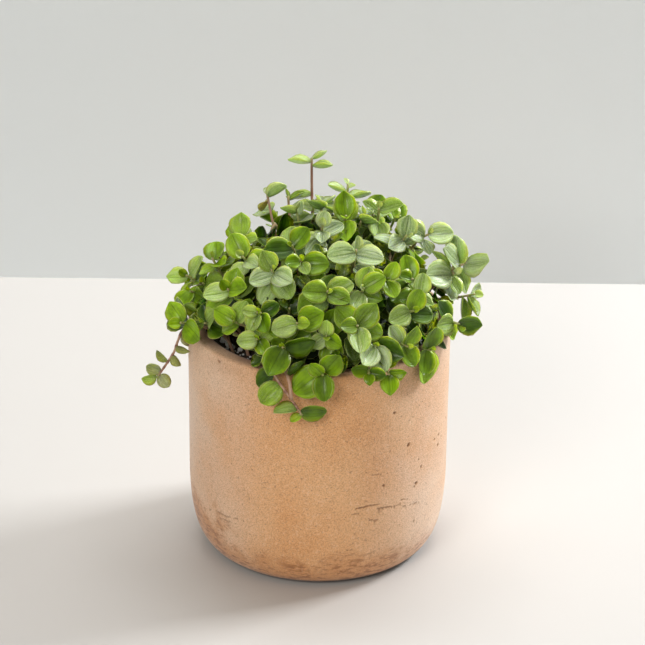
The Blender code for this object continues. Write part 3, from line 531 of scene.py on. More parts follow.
def smooth_line(line, cuts):
    """A line's points with more between them on smooth curves"""
    fine = []
    for index, (here, there) in enumerate(zip(line, line[1:])):
        pull = here + (there - line[max(index - 1, 0)]) / 6
        push = there - (line[min(index + 2, len(line) - 1)] - here) / 6
        fine += [bezier(here, pull, push, there, cut / cuts) for cut in range(cuts)]
    return fine + [line[-1]]


def line_length(line):
    """The length of a line"""
    return sum((there - here).length for here, there in zip(line, line[1:]))


def back_from_tip(line, distance):
    """The place and direction on a line, a distance back from its tip"""
    left = distance
    for index in range(len(line) - 1, 0, -1):
        piece = line[index] - line[index - 1]
        if left <= piece.length or index == 1:
            return line[index] - piece.normalized() * left, piece.normalized()
        left -= piece.length


def direction_at(line, distance):
    """The stem's direction, evened out over its bends"""
    near = back_from_tip(line, max(distance - BEND_REACH, 0.0))[1]
    far = back_from_tip(line, distance + BEND_REACH)[1]
    return (near + far).normalized()


def leaf_frame(place, stem, turn, tilt, sunk, roll):
    """Side, length and upper face of a leaf as the axes of a matrix, from its root in the stem's side"""
    top = (VIEW_UP - stem * VIEW_UP.dot(stem)).normalized()
    across = top.cross(stem)
    out = top * cos(radians(turn)) + across * sin(radians(turn))
    along = stem * cos(radians(tilt)) + out * sin(radians(tilt))
    face = stem * sin(radians(tilt)) - out * cos(radians(tilt))
    frame = Matrix((along.cross(face), along, face)).transposed().to_4x4()
    return Matrix.Translation(place + out * sunk) @ frame @ Matrix.Rotation(radians(roll), 4, "Y")


def half_width(share):
    """Half the blade's width at a share of its length, as a share of its greatest half width"""
    return share**0.45 * (1.0 - share) ** 0.72 / 0.4586


def blade_point(leaf, share, side):
    """A point of the blade: share runs from the base to the tip, side from -1 to 1"""
    length = leaf["length"]
    across = side * half_width(share) * leaf["width"] / 2
    cup = leaf["cup"] * (sqrt(across * across + 1.0) - 1.0)
    bend = leaf["bend"] * length * share * share
    return Vector((across, length * share, cup + bend))


def outline(corners):
    """The blade's corners, from its base round by its tip"""
    ring = []
    for index in range(corners):
        angle = 2 * pi * index / corners
        side = 0 if index in (0, corners // 2) else (1 if index < corners // 2 else -1)
        ring.append((((1 - cos(angle)) / 2) ** 0.9, side))
    return ring


def blade_shell(leaf, grow, start):
    """The thickened blade's points and faces, for finding what is in its way"""
    ring = outline(leaf["corners"])
    points = [blade_point(leaf, start + (1 - start) * LEAF_MIDDLE, 0)]
    for share, side in ring:
        point = blade_point(leaf, start + (1 - start) * share, side)
        point.x += grow * side
        points.append(point)
    points[1 + len(ring) // 2].y += grow
    half = Vector((0, 0, LEAF_THICK / 2 + grow))
    count = len(points)
    shell = [leaf["frame"] @ (point + half) for point in points]
    shell += [leaf["frame"] @ (point - half) for point in points]
    faces = [(1, 2, count - 1), (0, count - 1, 2)]
    faces += [(0, index, index + 1) for index in range(2, count - 1)]
    faces += [(count + low, count + high, count + middle) for low, middle, high in tuple(faces)]
    for index in range(1, count):
        after = index % (count - 1) + 1
        faces.append((index, count + index, count + after, after))
    return shell, faces


def tube_shell(line, radii, grow):
    """A square tube round a line, for finding what is in its way"""
    points = []
    for index, place in enumerate(line):
        ahead = line[min(index + 1, len(line) - 1)] - line[max(index - 1, 0)]
        side = ahead.orthogonal().normalized()
        other = ahead.cross(side).normalized()
        reach = (radii[index] + grow) * 1.1
        points += [place + quarter * reach for quarter in (side, other, -side, -other)]
    faces = []
    for ring in range(0, 4 * (len(line) - 1), 4):
        for corner in range(4):
            low, after = ring + corner, ring + (corner + 1) % 4
            faces.append((low, after, after + 4, low + 4))
    return points, faces


def in_pot(point, clear):
    """Whether a point is in the pot's wall, or nearer to it or the soil than a clearance"""
    reach = hypot(point.x, point.y)
    low_wall = HOLLOW_RADIUS - clear
    in_wall = low_wall < reach < POT_RADIUS + clear and point.z < POT_HEIGHT + clear
    return in_wall or (reach <= low_wall and point.z < SOIL_TOP + SOIL_RELIEF + clear)


def blade_in_pot(leaf):
    """Whether any of a grid of points on the blade is in the pot"""
    return any(in_pot(leaf["frame"] @ blade_point(leaf, step / 8, side), LEAF_TO_POT)
               for step in range(1, 9) for side in (-1, -0.5, 0, 0.5, 1))


def ball_round(points):
    """The middle of some points, and how far they reach from it"""
    middle = sum(points, Vector()) / len(points)
    return middle, max((point - middle).length for point in points)


class Crowd:
    """What has grown so far, so that nothing new crosses it"""

    def __init__(self):
        self.things = []
        self.feet = []

    def add(self, owner, shell):
        """Keep a shell with its owner, its middle and its reach"""
        self.things.append((owner, *ball_round(shell[0]), BVHTree.FromPolygons(*shell)))

    def meets(self, shell, owner, own):
        """Whether a shell crosses another owner's things, or its own owner's"""
        middle, reach = ball_round(shell[0])
        tree = BVHTree.FromPolygons(*shell)
        return any((name == owner) == own and (centre - middle).length < reach + span and tree.overlap(other)
                   for name, centre, span, other in self.things)


def thinned(share):
    """The stem's radius at a share of its length, from the soil to its tip"""
    return STEM_RADIUS + (TIP_RADIUS - STEM_RADIUS) * share**1.5


def stem_radii(line):
    """The radii of a stem at its line's points"""
    return [thinned(index / (len(line) - 1)) for index in range(len(line))]


def stem_pieces(line, radii):
    """A line's stretches as short tubes, so that a bent stem isn't taken for its whole box"""
    return [(line[index:index + 2], radii[index:index + 2]) for index in range(len(line) - 1)]


def line_clear(line, name, crowd):
    """Whether a stem's line keeps clear of the pot and of the other stems"""
    radii = stem_radii(line)
    for test in range(FIRST_TEST, STRETCH_TESTS * (len(line) - 1) + 1):
        index, part = divmod(test, STRETCH_TESTS)
        there = line[min(index + 1, len(line) - 1)]
        if in_pot(line[index].lerp(there, part / STRETCH_TESTS), radii[index] + STEM_TO_POT):
            return False
    return not any(crowd.meets(tube_shell(part, widths, CLEARANCE), name, False)
                   for part, widths in stem_pieces(line, radii))


def plant_root(tip, reach_share, turn, spread):
    """Where a stem comes out of the soil, on its tip's own side of the pot"""
    reach = min(hypot(tip.x, tip.y) * reach_share + spread, FARTHEST_ROOT)
    bearing = atan2(tip.y, tip.x) + radians(turn)
    return Vector((reach * cos(bearing), reach * sin(bearing), SOIL_TOP))


def grow_stem(name, tip, facing, crowd):
    """The first root place whose stem keeps clear of the others"""
    for height in ARCHES:
        for reach_share, spread in ROOT_PLACES:
            for turn in ROOT_TURNS:
                root = plant_root(tip, reach_share, turn, spread)
                if any((root - foot).length < FEET_APART for foot in crowd.feet):
                    continue
                line = arch(root, tip, facing, height)
                if line_clear(line, name, crowd):
                    return line
    return None


def grow_fork(name, parent, tip, facing, crowd):
    """A side stem that leaves another on its way up"""
    for share in FORK_SHARES:
        start = parent["line"][-1].lerp(parent["line"][0], share)
        root = min(parent["line"][1:-1], key=lambda point: (point - start).length)
        for height in ARCHES:
            line = arch(root, tip, facing, height * FORK_ARCH)
            if line_clear(line, name, crowd):
                return line
    return None


def add_stem(shoots, crowd, name, line, leaves, parent):
    """Keep a shoot whose stem has found its place, in its own node or its parent's"""
    node = parent["node"] if parent else name
    if not parent:
        crowd.feet.append(line[0])
    for part, widths in stem_pieces(line, stem_radii(line)):
        crowd.add(node, tube_shell(part, widths, 0.0))
    shoot = {"name": name, "node": node, "line": line, "plan": leaves, "leaves": []}
    shoots.append(shoot)
    return shoot


def back_plan(count, first, last, seed):
    """Bearings of a row of back shoots, with a little chance in them"""
    chance = random.Random(seed)
    step = (last - first) / max(count - 1, 1)
    return [first + step * index + chance.uniform(-4, 4) for index in range(count)]


def rule_leaves(name, given, lengths):
    """A shoot's leaves, from its youngest down: those given, then more by the plant's own rule"""
    chance = random.Random(name)
    turn = given[-1][0] if given else chance.uniform(0, 360)
    leaves = list(given)
    for length in lengths:
        turn += TURN_PER_NODE + chance.uniform(-14, 14)
        leaves.append((turn, length * chance.uniform(0.9, 1.06)))
    return tuple(leaves)


def plant_stems():
    """Every stem, from those listed to the rows at the back"""
    crowd = Crowd()
    shoots = []
    for name, places, leaves in TRAILING_SHOOTS:
        line = smooth_line([Vector(place) for place in places], TRAIL_CUTS)
        add_stem(shoots, crowd, name, line, leaves, None)
    found = {}
    for name, tip, facing, leaves in sorted(FRONT_SHOOTS, key=lambda row: row[0] in FORKS):
        leaves = rule_leaves(name, leaves, () if name in BARE_BELOW else LOWER_LEAVES)
        found[name] = grow_one(shoots, crowd, name, Vector(tip), heading(*facing),
                               found.get(FORKS.get(name)), leaves)
    for row, (count, reach, height, first, last) in enumerate(BACK_ROWS):
        parent = None
        for index, bearing in enumerate(back_plan(count, first, last, row)):
            name = f"back_{row + 1}_{index + 1}"
            if name in OPEN_PLACES:
                continue
            chance = random.Random(name)
            tip = heading(bearing, 0) * (reach + chance.uniform(-3, 3))
            tip.z = height + chance.uniform(-3, 3)
            lift = BACK_LIFT - LIFT_LOST * (BACK_HIGH - height) + chance.uniform(-6, 6)
            grown = grow_one(shoots, crowd, name, tip, heading(bearing, lift), parent,
                             rule_leaves(name, (), BACK_LEAVES))
            parent = grown if grown and not parent else None
    return shoots, crowd


def grow_one(shoots, crowd, name, tip, facing, parent, leaves):
    """One stem of its own, or a fork of another's"""
    node = parent["node"] if parent else name
    line = grow_fork(node, parent, tip, facing, crowd) if parent else grow_stem(node, tip, facing, crowd)
    if line:
        return add_stem(shoots, crowd, name, line, leaves, parent)
    print("no room for stem", name)
    return None


def radius_at(shoot, distance):
    """The stem's radius a distance back from its tip"""
    return thinned(max(0.0, 1.0 - distance / line_length(shoot["line"])))


def leaf_distance(rank):
    """How far from the tip a leaf of a rank is joined, in mm"""
    last = len(NODE_PLACES) - 1
    return NODE_PLACES[min(rank, last)] + max(rank - last, 0) * INNER_STEP


def leaf_traits(shoot, rank):
    """The small differences between one leaf and the next"""
    chance = random.Random(f"{shoot['name']} {rank}")
    young = max(0.0, 1.0 - shoot["plan"][rank][1] / FULL_LENGTH)
    return {
        "cup": chance.uniform(0.12, 0.30) + 0.5 * young,
        "bend": chance.uniform(-0.20, 0.02) + 0.15 * young,
        "roll": chance.uniform(-10, 10),
        "plump": chance.uniform(0.95, 1.06),
        "tone": chance.random(),
    }


def place_leaf(shoot, rank, crowd):
    """A leaf at the first of the tries where it crosses nothing"""
    turn, length, *rest = shoot["plan"][rank]
    if not length:
        return
    usual = LEAF_TILTS[min(rank, len(LEAF_TILTS) - 1)]
    traits = leaf_traits(shoot, rank)
    distance = leaf_distance(rank)
    place = back_from_tip(shoot["line"], distance)[0]
    stem = direction_at(shoot["line"], distance)
    sunk = BASE_SHARE * radius_at(shoot, distance)
    own = BUD_START if rank == 0 else OWN_START
    for turned, tilted, scale in TRIES:
        leaf = dict(traits)
        leaf["rank"] = rank
        leaf["corners"] = LEAF_CORNERS if length > YOUNG_LENGTH and rank in FINE_RANKS else YOUNG_CORNERS
        leaf["length"] = length * scale
        leaf["width"] = length * scale * LEAF_WIDTH * traits["plump"]
        tilt = (rest[0] if rest else usual) + tilted
        roll = traits["roll"] + (rest[1] if len(rest) > 1 else 0)
        leaf["frame"] = leaf_frame(place, stem, turn + turned, tilt, sunk, roll)
        if (blade_in_pot(leaf) or crowd.meets(blade_shell(leaf, CLEARANCE, 0.0), shoot["node"], False)
                or crowd.meets(blade_shell(leaf, OWN_CLEARANCE, own), shoot["node"], True)):
            continue
        shoot["leaves"].append(leaf)
        crowd.add(shoot["node"], blade_shell(leaf, 0.0, 0.0))
        return


def grow_plant():
    """All shoots with their leaves, the tip leaves of every shoot before those lower down"""
    shoots, crowd = plant_stems()
    for rank in range(max(len(shoot["plan"]) for shoot in shoots)):
        for shoot in shoots:
            if rank < len(shoot["plan"]):
                place_leaf(shoot, rank, crowd)
    return shoots, crowd


# Shapes that the pot and the soil share with their solids


def foot_curve(steps):
    """The pot's rounded foot, from the wall down to the flat underside"""
    wall = POT_RADIUS - POT_TAPER
    start = Vector((wall, FOOT_HEIGHT))
    pull = Vector((wall, FOOT_HEIGHT * (1 - FOOT_PULL_DOWN)))
    push = Vector((FOOT_RADIUS + (wall - FOOT_RADIUS) * FOOT_PULL_OUT, 0.0))
    end = Vector((FOOT_RADIUS, 0.0))
    return [tuple(bezier(start, pull, push, end, step / steps)) for step in range(steps + 1)]


def quarter_turn(steps):
    """The angles of a quarter turn, in equal steps"""
    return [pi / 2 * step / steps for step in range(steps + 1)]


def inner_corner(shrink, steps):
    """The hollow's rounded corner, from its floor up to its wall"""
    centre = HOLLOW_RADIUS - shrink - INNER_CORNER
    level = FLOOR_THICK + shrink + INNER_CORNER
    return [(centre + INNER_CORNER * sin(angle), level - INNER_CORNER * cos(angle))
            for angle in quarter_turn(steps)]


def soil_height(x, y):
    """The soil's uneven surface, in mm above its level"""
    lumps = sin(x * 0.31 + 1.0) * cos(y * 0.27) + 0.6 * sin(x * 0.73 - y * 0.61)
    return SOIL_RELIEF * 0.5 * lumps


# Growth inside the mound


def nearest_shoot(shoots, tip):
    """The shoot whose stem's middle is nearest to a tip"""
    return min(shoots, key=lambda shoot: (shoot["line"][len(shoot["line"]) // 2] - tip).length)


def grow_sides(shoots, crowd):
    """The shoots that fill the sides and the ridge, each forked from the stem nearest to it"""
    for name, place, facing, leaves in SIDE_SHOOTS:
        tip = Vector(place)
        shoot = grow_one(shoots, crowd, name, tip, heading(*facing), nearest_shoot(shoots, tip),
                         rule_leaves(name, leaves, SIDE_LEAVES))
        for rank in range(len(shoot["plan"]) if shoot else 0):
            place_leaf(shoot, rank, crowd)


def grow_inner(shoots, crowd):
    """Shoots under the outer ones, spread by the golden angle, each forked from the stem nearest to it"""
    for index in range(INNER_SHOOTS):
        share = (index + 0.5) / INNER_SHOOTS
        bearing = GOLDEN_ANGLE * index
        tip = heading(bearing, 0) * (INNER_REACH * sqrt(share))
        tip.z = INNER_HIGH + (INNER_LOW - INNER_HIGH) * share
        name = f"inner_{index + 1}"
        facing = heading(bearing, INNER_LIFT - INNER_LEAN * share)
        grow_one(shoots, crowd, name, tip, facing, nearest_shoot(shoots, tip),
                 rule_leaves(name, (), INNER_LEAVES))


def hides_perlite(leaf):
    """Whether a leaf stands between the photograph's view and the grains that show at the rim"""
    middle = leaf["frame"] @ Vector((0, leaf["length"] / 2, 0)) - GRAINS_SEEN
    along = middle.dot(SIGHT)
    return along > 0 and (middle - SIGHT * along).length < leaf["length"] / 2 + GRAINS_ROOM


def inner_plan(shoot):
    """A shoot's leaves with more below them, down to a little above the soil"""
    chance = random.Random(shoot["name"] + " inside")
    plan = list(shoot["plan"])
    turn = plan[-1][0]
    while leaf_distance(len(plan)) < line_length(shoot["line"]) - INNER_FOOT:
        turn += TURN_PER_NODE + chance.uniform(-20, 20)
        plan.append((turn, chance.uniform(INNER_LEAST, INNER_MOST)))
    return tuple(plan)


def fill_out(shoots, crowd):
    """More shoots inside the mound, and more leaves on every stem"""
    grow_sides(shoots, crowd)
    for shoot in shoots:
        shoot["outer"] = len(shoot["plan"])
    grow_inner(shoots, crowd)
    for shoot in shoots:
        shoot.setdefault("outer", 0)
        shoot["plan"] = inner_plan(shoot)
    for rank in range(max(len(shoot["plan"]) for shoot in shoots)):
        for shoot in shoots:
            if shoot["outer"] <= rank < len(shoot["plan"]):
                place_leaf(shoot, rank, crowd)
        for shoot in shoots:
            shoot["leaves"] = [leaf for leaf in shoot["leaves"]
                               if leaf["rank"] < shoot["outer"] or not hides_perlite(leaf)]


# Modelling


def deselect():
    """Nothing selected, in object mode"""
    if bpy.context.object and bpy.context.object.mode != "OBJECT":
        bpy.ops.object.mode_set(mode="OBJECT")
    bpy.ops.object.select_all(action="DESELECT")


def choose(piece):
    """Only this piece selected, in object mode"""
    deselect()
    piece.select_set(True)
    bpy.context.view_layer.objects.active = piece


def edit(piece):
    """Edit mode on one piece, with nothing selected in it"""
    choose(piece)
    bpy.ops.object.mode_set(mode="EDIT")
    bpy.ops.mesh.select_all(action="DESELECT")


def pick(piece, kind, test):
    """Select the vertices, edges or faces of the piece in edit mode that pass a test"""
    bpy.ops.mesh.select_all(action="DESELECT")
    shape = bmesh.from_edit_mesh(piece.data)
    shape.verts.ensure_lookup_table()
    for part in getattr(shape, kind):
        if test(part):
            part.select_set(True)
    bmesh.update_edit_mesh(piece.data)


def shift(piece, chosen, height):
    """Move the chosen vertices up or down"""
    pick(piece, "verts", lambda vertex: vertex.index in chosen)
    bpy.ops.transform.translate(value=(0, 0, height))


def leave_edit():
    """Back to object mode"""
    bpy.ops.object.mode_set(mode="OBJECT")


def close_up(threshold, outwards=True):
    """Merge the vertices that meet, turn the faces outwards and leave edit mode"""
    bpy.ops.mesh.select_all(action="SELECT")
    bpy.ops.mesh.remove_doubles(threshold=threshold)
    if outwards:
        bpy.ops.mesh.normals_make_consistent(inside=False)
    leave_edit()


def smooth(piece, angle=180):
    """Smooth shading, with edges sharper than an angle kept"""
    choose(piece)
    bpy.ops.object.shade_smooth_by_angle(angle=radians(angle))


def dressed(piece, *finishes):
    """Give a piece its finishes"""
    piece.data.materials.clear()
    for finish in finishes:
        piece.data.materials.append(finish)


def placed(name, data):
    """A new object in the scene"""
    piece = bpy.data.objects.new(name, data)
    bpy.context.scene.collection.objects.link(piece)
    return piece


def joined(name, pieces):
    """Several pieces as one, with its own name"""
    deselect()
    for piece in pieces:
        piece.select_set(True)
    bpy.context.view_layer.objects.active = pieces[0]
    if len(pieces) > 1:
        bpy.ops.object.join()
    whole = bpy.context.view_layer.objects.active
    whole.name = name
    whole.data.name = name
    return whole


def kept(piece, slot, *nodes):
    """A finished piece: it rides on the part's body and stands for its solids; its slot is not used"""
    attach(piece, "root")
    if nodes:
        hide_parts(*nodes)


def spun(name, profile, steps):
    """A profile in mm, drawn out from one point and spun round the upright axis"""
    (reach, height), *others = profile
    bpy.ops.mesh.primitive_plane_add(size=MM, location=(reach * MM, 0, height * MM))
    piece = bpy.context.object
    piece.name = name
    bpy.ops.object.transform_apply(location=True, rotation=False, scale=False)
    edit(piece)
    bpy.ops.mesh.select_all(action="SELECT")
    bpy.ops.mesh.merge(type="CENTER")
    for there, level in others:
        step = ((there - reach) * MM, 0, (level - height) * MM)
        bpy.ops.mesh.extrude_vertices_move(TRANSFORM_OT_translate={"value": step})
        reach, height = there, level
    bpy.ops.mesh.select_all(action="SELECT")
    bpy.ops.mesh.spin(steps=steps, angle=2 * pi, center=(0, 0, 0), axis=(0, 0, 1))
    close_up(SPIN_WELD)
    return piece


def places_of(mesh):
    """A mesh's vertices as an array, in its own units"""
    places = np.empty(len(mesh.vertices) * 3)
    mesh.vertices.foreach_get("co", places)
    return places.reshape(-1, 3)


def put_places(mesh, places):
    """Move a mesh's vertices"""
    mesh.vertices.foreach_set("co", np.asarray(places, np.float32).ravel())
    mesh.update()


def put_value(mesh, name, values):
    """A value over the surface, for the materials to read"""
    layer = mesh.attributes.new(name, "FLOAT", "POINT")
    layer.data.foreach_set("value", np.asarray(values, np.float32))


# Finishes


def effect_group(name, inputs, outputs):
    """A node group with named inputs and outputs: its tree, what it is given and what it gives"""
    tree = bpy.data.node_groups.new(name, "ShaderNodeTree")
    for label, value in inputs:
        socket = tree.interface.new_socket(label, in_out="INPUT", socket_type="NodeSocketFloat")
        socket.default_value = value
    for label in outputs:
        tree.interface.new_socket(label, in_out="OUTPUT", socket_type="NodeSocketFloat")
    return tree, tree.nodes.new("NodeGroupInput").outputs, tree.nodes.new("NodeGroupOutput")


def new_finish(name):
    """A new material, its tree and its Principled shader"""
    finish = bpy.data.materials.new(name)
    finish.use_nodes = True
    return finish, finish.node_tree, finish.node_tree.nodes["Principled BSDF"]


def feed(tree, socket, value):
    """Link an output to a socket, or set the socket to a number or colour"""
    if isinstance(value, bpy.types.NodeSocket):
        tree.links.new(value, socket)
    elif isinstance(value, tuple) and len(value) == 3 and socket.type == "RGBA":
        socket.default_value = (*value, 1.0)
    else:
        socket.default_value = value


def feed_all(tree, node, values):
    """Link or set a node's inputs by their names"""
    for label, value in values.items():
        feed(tree, node.inputs[label], value)


def put_node(tree, kind, **values):
    """A new node with its inputs linked or set"""
    node = tree.nodes.new("ShaderNode" + kind)
    feed_all(tree, node, values)
    return node


def math_node(tree, work, first, second=0.0, third=0.0):
    """One sum, product or other working of numbers"""
    node = tree.nodes.new("ShaderNodeMath")
    node.operation = work
    for socket, value in zip(node.inputs, (first, second, third)):
        feed(tree, socket, value)
    return node.outputs[0]


def times(tree, first, second, more=None):
    """The product of two numbers, with more added to it where more is given"""
    if more is None:
        return math_node(tree, "MULTIPLY", first, second)
    return math_node(tree, "MULTIPLY_ADD", first, second, more)


def ramp(tree, value, low, high):
    """0 below a low value and 1 above a high one, or the other way round, with a soft step between"""
    node = tree.nodes.new("ShaderNodeMapRange")
    node.interpolation_type = "SMOOTHSTEP"
    start, end = (0.0, 1.0) if low < high else (1.0, 0.0)
    for socket, number in zip(node.inputs[:5], (value, min(low, high), max(low, high), start, end)):
        feed(tree, socket, number)
    return node.outputs[0]


def blended(tree, share, first, second, kind="MIX"):
    """Two colours mixed by a share"""
    node = tree.nodes.new("ShaderNodeMix")
    node.data_type = "RGBA"
    node.blend_type = kind
    feed(tree, node.inputs["Factor"], share)
    feed(tree, node.inputs[6], first)
    feed(tree, node.inputs[7], second)
    return node.outputs[2]


def tinted(tree, colour, mark, share, other):
    """A colour with another over it where a mark is, at a share of its strength"""
    return blended(tree, times(tree, mark, share), colour, other)


def own_places(tree, stretch=(1.0, 1.0, 1.0)):
    """The piece's own coordinates, stretched along its axes"""
    source = put_node(tree, "TexCoord")
    return put_node(tree, "Mapping", Vector=source.outputs["Object"], Scale=stretch).outputs[0]


def split(tree, places):
    """The X, Y and Z of places"""
    return put_node(tree, "SeparateXYZ", Vector=places).outputs[:]


def noise_node(tree, places, scale, detail=2.0, rough=0.5):
    """Soft noise, from 0 to 1"""
    node = put_node(tree, "TexNoise", Vector=places, Scale=scale, Detail=detail, Roughness=rough)
    return node.outputs["Fac"]


def patches(tree, places, scale, detail, low, high, rough=0.5):
    """Soft-edged patches of noise between a low and a high value"""
    return ramp(tree, noise_node(tree, places, scale, detail, rough), low, high)


def carried(tree, name):
    """A value that the mesh carries"""
    node = tree.nodes.new("ShaderNodeAttribute")
    node.attribute_name = name
    return node.outputs["Fac"]


def bumped(tree, shader, height, strength, distance):
    """A relief on the shader's surface"""
    node = put_node(tree, "Bump", Strength=strength, Distance=distance, Height=height)
    feed(tree, shader.inputs["Normal"], node.outputs["Normal"])


def speckle_group():
    """Grains of two sizes in clay or soil: dark ones, light ones and an even grain"""
    tree, given, result = effect_group(
        "speckle", (("Scale", 1000.0), ("Dark", 0.62), ("Light", 0.64)), ("Dark", "Light", "Grain"))
    places = own_places(tree)
    fine = noise_node(tree, places, given["Scale"])
    broad = noise_node(tree, places, times(tree, given["Scale"], 0.73), 1.0)
    dark = math_node(tree, "SUBTRACT", fine, given["Dark"])
    light = math_node(tree, "SUBTRACT", broad, given["Light"])
    feed_all(tree, result, {
        "Dark": ramp(tree, dark, 0.0, 0.05), "Light": ramp(tree, light, 0.0, 0.04), "Grain": fine})
    return tree


def leaf_group():
    """The pattern of a blade from its own map: X runs across it from edge to edge, Y from base to tip"""
    tree, given, result = effect_group(
        "leaf pattern", (("Veins", 6.0), ("Margin", 0.05)),
        ("Margin", "Veins", "Midrib", "Base", "Outer", "Streaks", "Bands"))
    source = put_node(tree, "UVMap")
    source.uv_map = "UVMap"
    x, y, _ = split(tree, source.outputs["UV"])
    aside = math_node(tree, "ABSOLUTE", math_node(tree, "SUBTRACT", x, 0.5))
    aside = times(tree, aside, 2.0)
    margin = math_node(tree, "SUBTRACT", aside, math_node(tree, "SUBTRACT", 1.0, given["Margin"]))
    margin = math_node(tree, "MAXIMUM", margin, math_node(tree, "SUBTRACT", y, 0.97))
    wander = noise_node(tree, own_places(tree), 260.0)
    wave = times(tree, times(tree, wander, 0.08, aside), given["Veins"])
    wave = math_node(tree, "SINE", times(tree, wave, 2 * pi))
    drawn_out = put_node(tree, "CombineXYZ", X=times(tree, x, 16.0), Y=times(tree, y, 1.8),
                         Z=times(tree, carried(tree, "lime"), 40.0)).outputs["Vector"]
    streaks = noise_node(tree, drawn_out, 1.0, 3.0, 0.6)
    broad = tree.nodes.new("ShaderNodeVectorMath")
    broad.operation = "MULTIPLY"
    feed(tree, broad.inputs[0], drawn_out)
    feed(tree, broad.inputs[1], BAND_STRETCH)
    bands = noise_node(tree, broad.outputs["Vector"], 1.0, 1.5)
    feed_all(tree, result, {
        "Margin": ramp(tree, margin, -0.02, 0.03),
        "Veins": ramp(tree, wave, 0.35, 1.0),
        "Midrib": ramp(tree, aside, 0.09, 0.0),
        # Painted shade, darker towards the blade's base
        "Base": ramp(tree, y, 0.45, 0.0),
        # Painted light, paler towards the blade's edges as if lit through them
        "Outer": ramp(tree, aside, 0.35, 1.0),
        "Streaks": ramp(tree, streaks, 0.39, 0.62),
        "Bands": ramp(tree, bands, 0.56, 0.36),
    })
    return tree


def placed_group(tree, group, **values):
    """A node group in a material, with its own values"""
    node = tree.nodes.new("ShaderNodeGroup")
    node.node_tree = group
    feed_all(tree, node, values)
    return node.outputs


def leaf_finish(name, pattern, deep, lime, silver, purple, edge, rough, gloss):
    """A side of a blade: green to lime, streaked with silver bloom and painted sheen between darker veins,
    with painted shade at its base and on lower leaves, and painted light at its edges
    """
    finish, tree, shader = new_finish(name)
    marks = placed_group(tree, pattern, Veins=4.0, Margin=edge)
    places = own_places(tree)
    dark = tuple(channel * 0.2 for channel in deep)
    colour = blended(tree, carried(tree, "lime"), deep, lime)
    # Painted light: lighter lime towards the edges, as if lit through them
    colour = tinted(tree, colour, marks["Outer"], 0.4, lime)
    colour = tinted(tree, colour, patches(tree, places, 150.0, 3.0, 0.38, 0.68), 0.48, dark)
    # Silver streaks: partly the leaf's own bloom, partly a painted sheen, paler still on the most silvery
    # leaves
    bloom_and_sheen = times(tree, times(tree, marks["Streaks"], 0.38, 0.38), carried(tree, "silver"))
    pale = math_node(tree, "POWER", carried(tree, "silver"), 2.2)
    colour = blended(tree, bloom_and_sheen, colour, blended(tree, pale, silver, LEAF_PALE))
    colour = tinted(tree, colour, marks["Veins"], times(tree, marks["Streaks"], -0.1, 0.14), dark)
    # Dark midrib and bands, and painted shade at the base
    for mark, share in LEAF_DARKS:
        colour = tinted(tree, colour, marks[mark], share, dark)
    # Painted shade on lower and inner leaves, with some leaves darker at random, then purple and dry leaves
    for value, other in (("shade", dark), ("purple", purple), ("dry", LEAF_DRY)):
        colour = blended(tree, carried(tree, value), colour, other)
    colour = tinted(tree, colour, marks["Margin"], 0.55, LEAF_MARGIN)
    frost = patches(tree, places, 1500.0, 2.0, 0.52, 0.68)
    colour = tinted(tree, colour, frost, times(tree, carried(tree, "silver"), 0.3), LEAF_FROST)
    feed_all(tree, shader, {
        "Base Color": colour, "Roughness": times(tree, marks["Streaks"], 0.14, rough),
        "Specular IOR Level": 0.2, "Coat Weight": gloss, "Coat Roughness": 0.17,
        "Subsurface Weight": 0.35, "Subsurface Radius": (0.9, 1.1, 0.06), "Subsurface Scale": 0.0012})
    height = times(tree, marks["Veins"], -0.6, times(tree, marks["Streaks"], 0.5))
    bumped(tree, shader, times(tree, marks["Midrib"], -1.0, height), 0.6, 0.00018)
    return finish


def stem_finish():
    """Pinkish brown stems with dark purple sheaths at their joints, greener towards the tip"""
    finish, tree, shader = new_finish("stem")
    grain = noise_node(tree, own_places(tree, (1.0, 1.0, 0.3)), 1200.0, 3.0)
    colour = blended(tree, carried(tree, "young"), STEM_BROWN, STEM_GREEN)
    colour = blended(tree, ramp(tree, grain, 0.45, 0.7), colour, STEM_LIGHT)
    colour = blended(tree, carried(tree, "sheath"), colour, STEM_SHEATH)
    feed_all(tree, shader, {
        "Base Color": colour, "Roughness": 0.48, "Subsurface Weight": 0.2,
        "Subsurface Radius": (1.0, 0.4, 0.2), "Subsurface Scale": 0.001})
    bumped(tree, shader, grain, 0.3, 0.0001)
    return finish


def foot_wear_and_shadow(tree, places, colour, streaks):
    """The clay's colour with the stain and the wear at its foot, which reach highest at the front left, and a
    painted contact shadow along its lowest edge
    """
    x, y, z = split(tree, places)
    patch = patches(tree, places, 42.0, 5.0, 0.34, 0.66, 0.65)
    side = times(tree, ramp(tree, x, *STAIN_ACROSS), ramp(tree, y, *STAIN_ALONG))
    patch = times(tree, patch, times(tree, side, PATCH_HIGHER, PATCH_HEIGHT))
    reach = times(tree, side, STAIN_HEIGHT, patch)
    low = ramp(tree, math_node(tree, "SUBTRACT", reach, z), *STAIN_EDGE)
    stain = times(tree, low, times(tree, side, 0.12, 0.5))
    stain = math_node(tree, "MAXIMUM", stain, times(tree, ramp(tree, z, *FOOT_BAND), 0.5))
    colour = blended(tree, stain, colour, FOOT_STAIN)
    worn = times(tree, low, ramp(tree, streaks, 0.47, 0.59))
    colour = tinted(tree, colour, worn, 0.66, FOOT_WEAR)
    # Painted shadow: the lowest band of the foot made near black, where the pot meets the floor
    return tinted(tree, colour, ramp(tree, z, *CONTACT_SHADOW_BAND), 0.9, CONTACT_SHADOW)


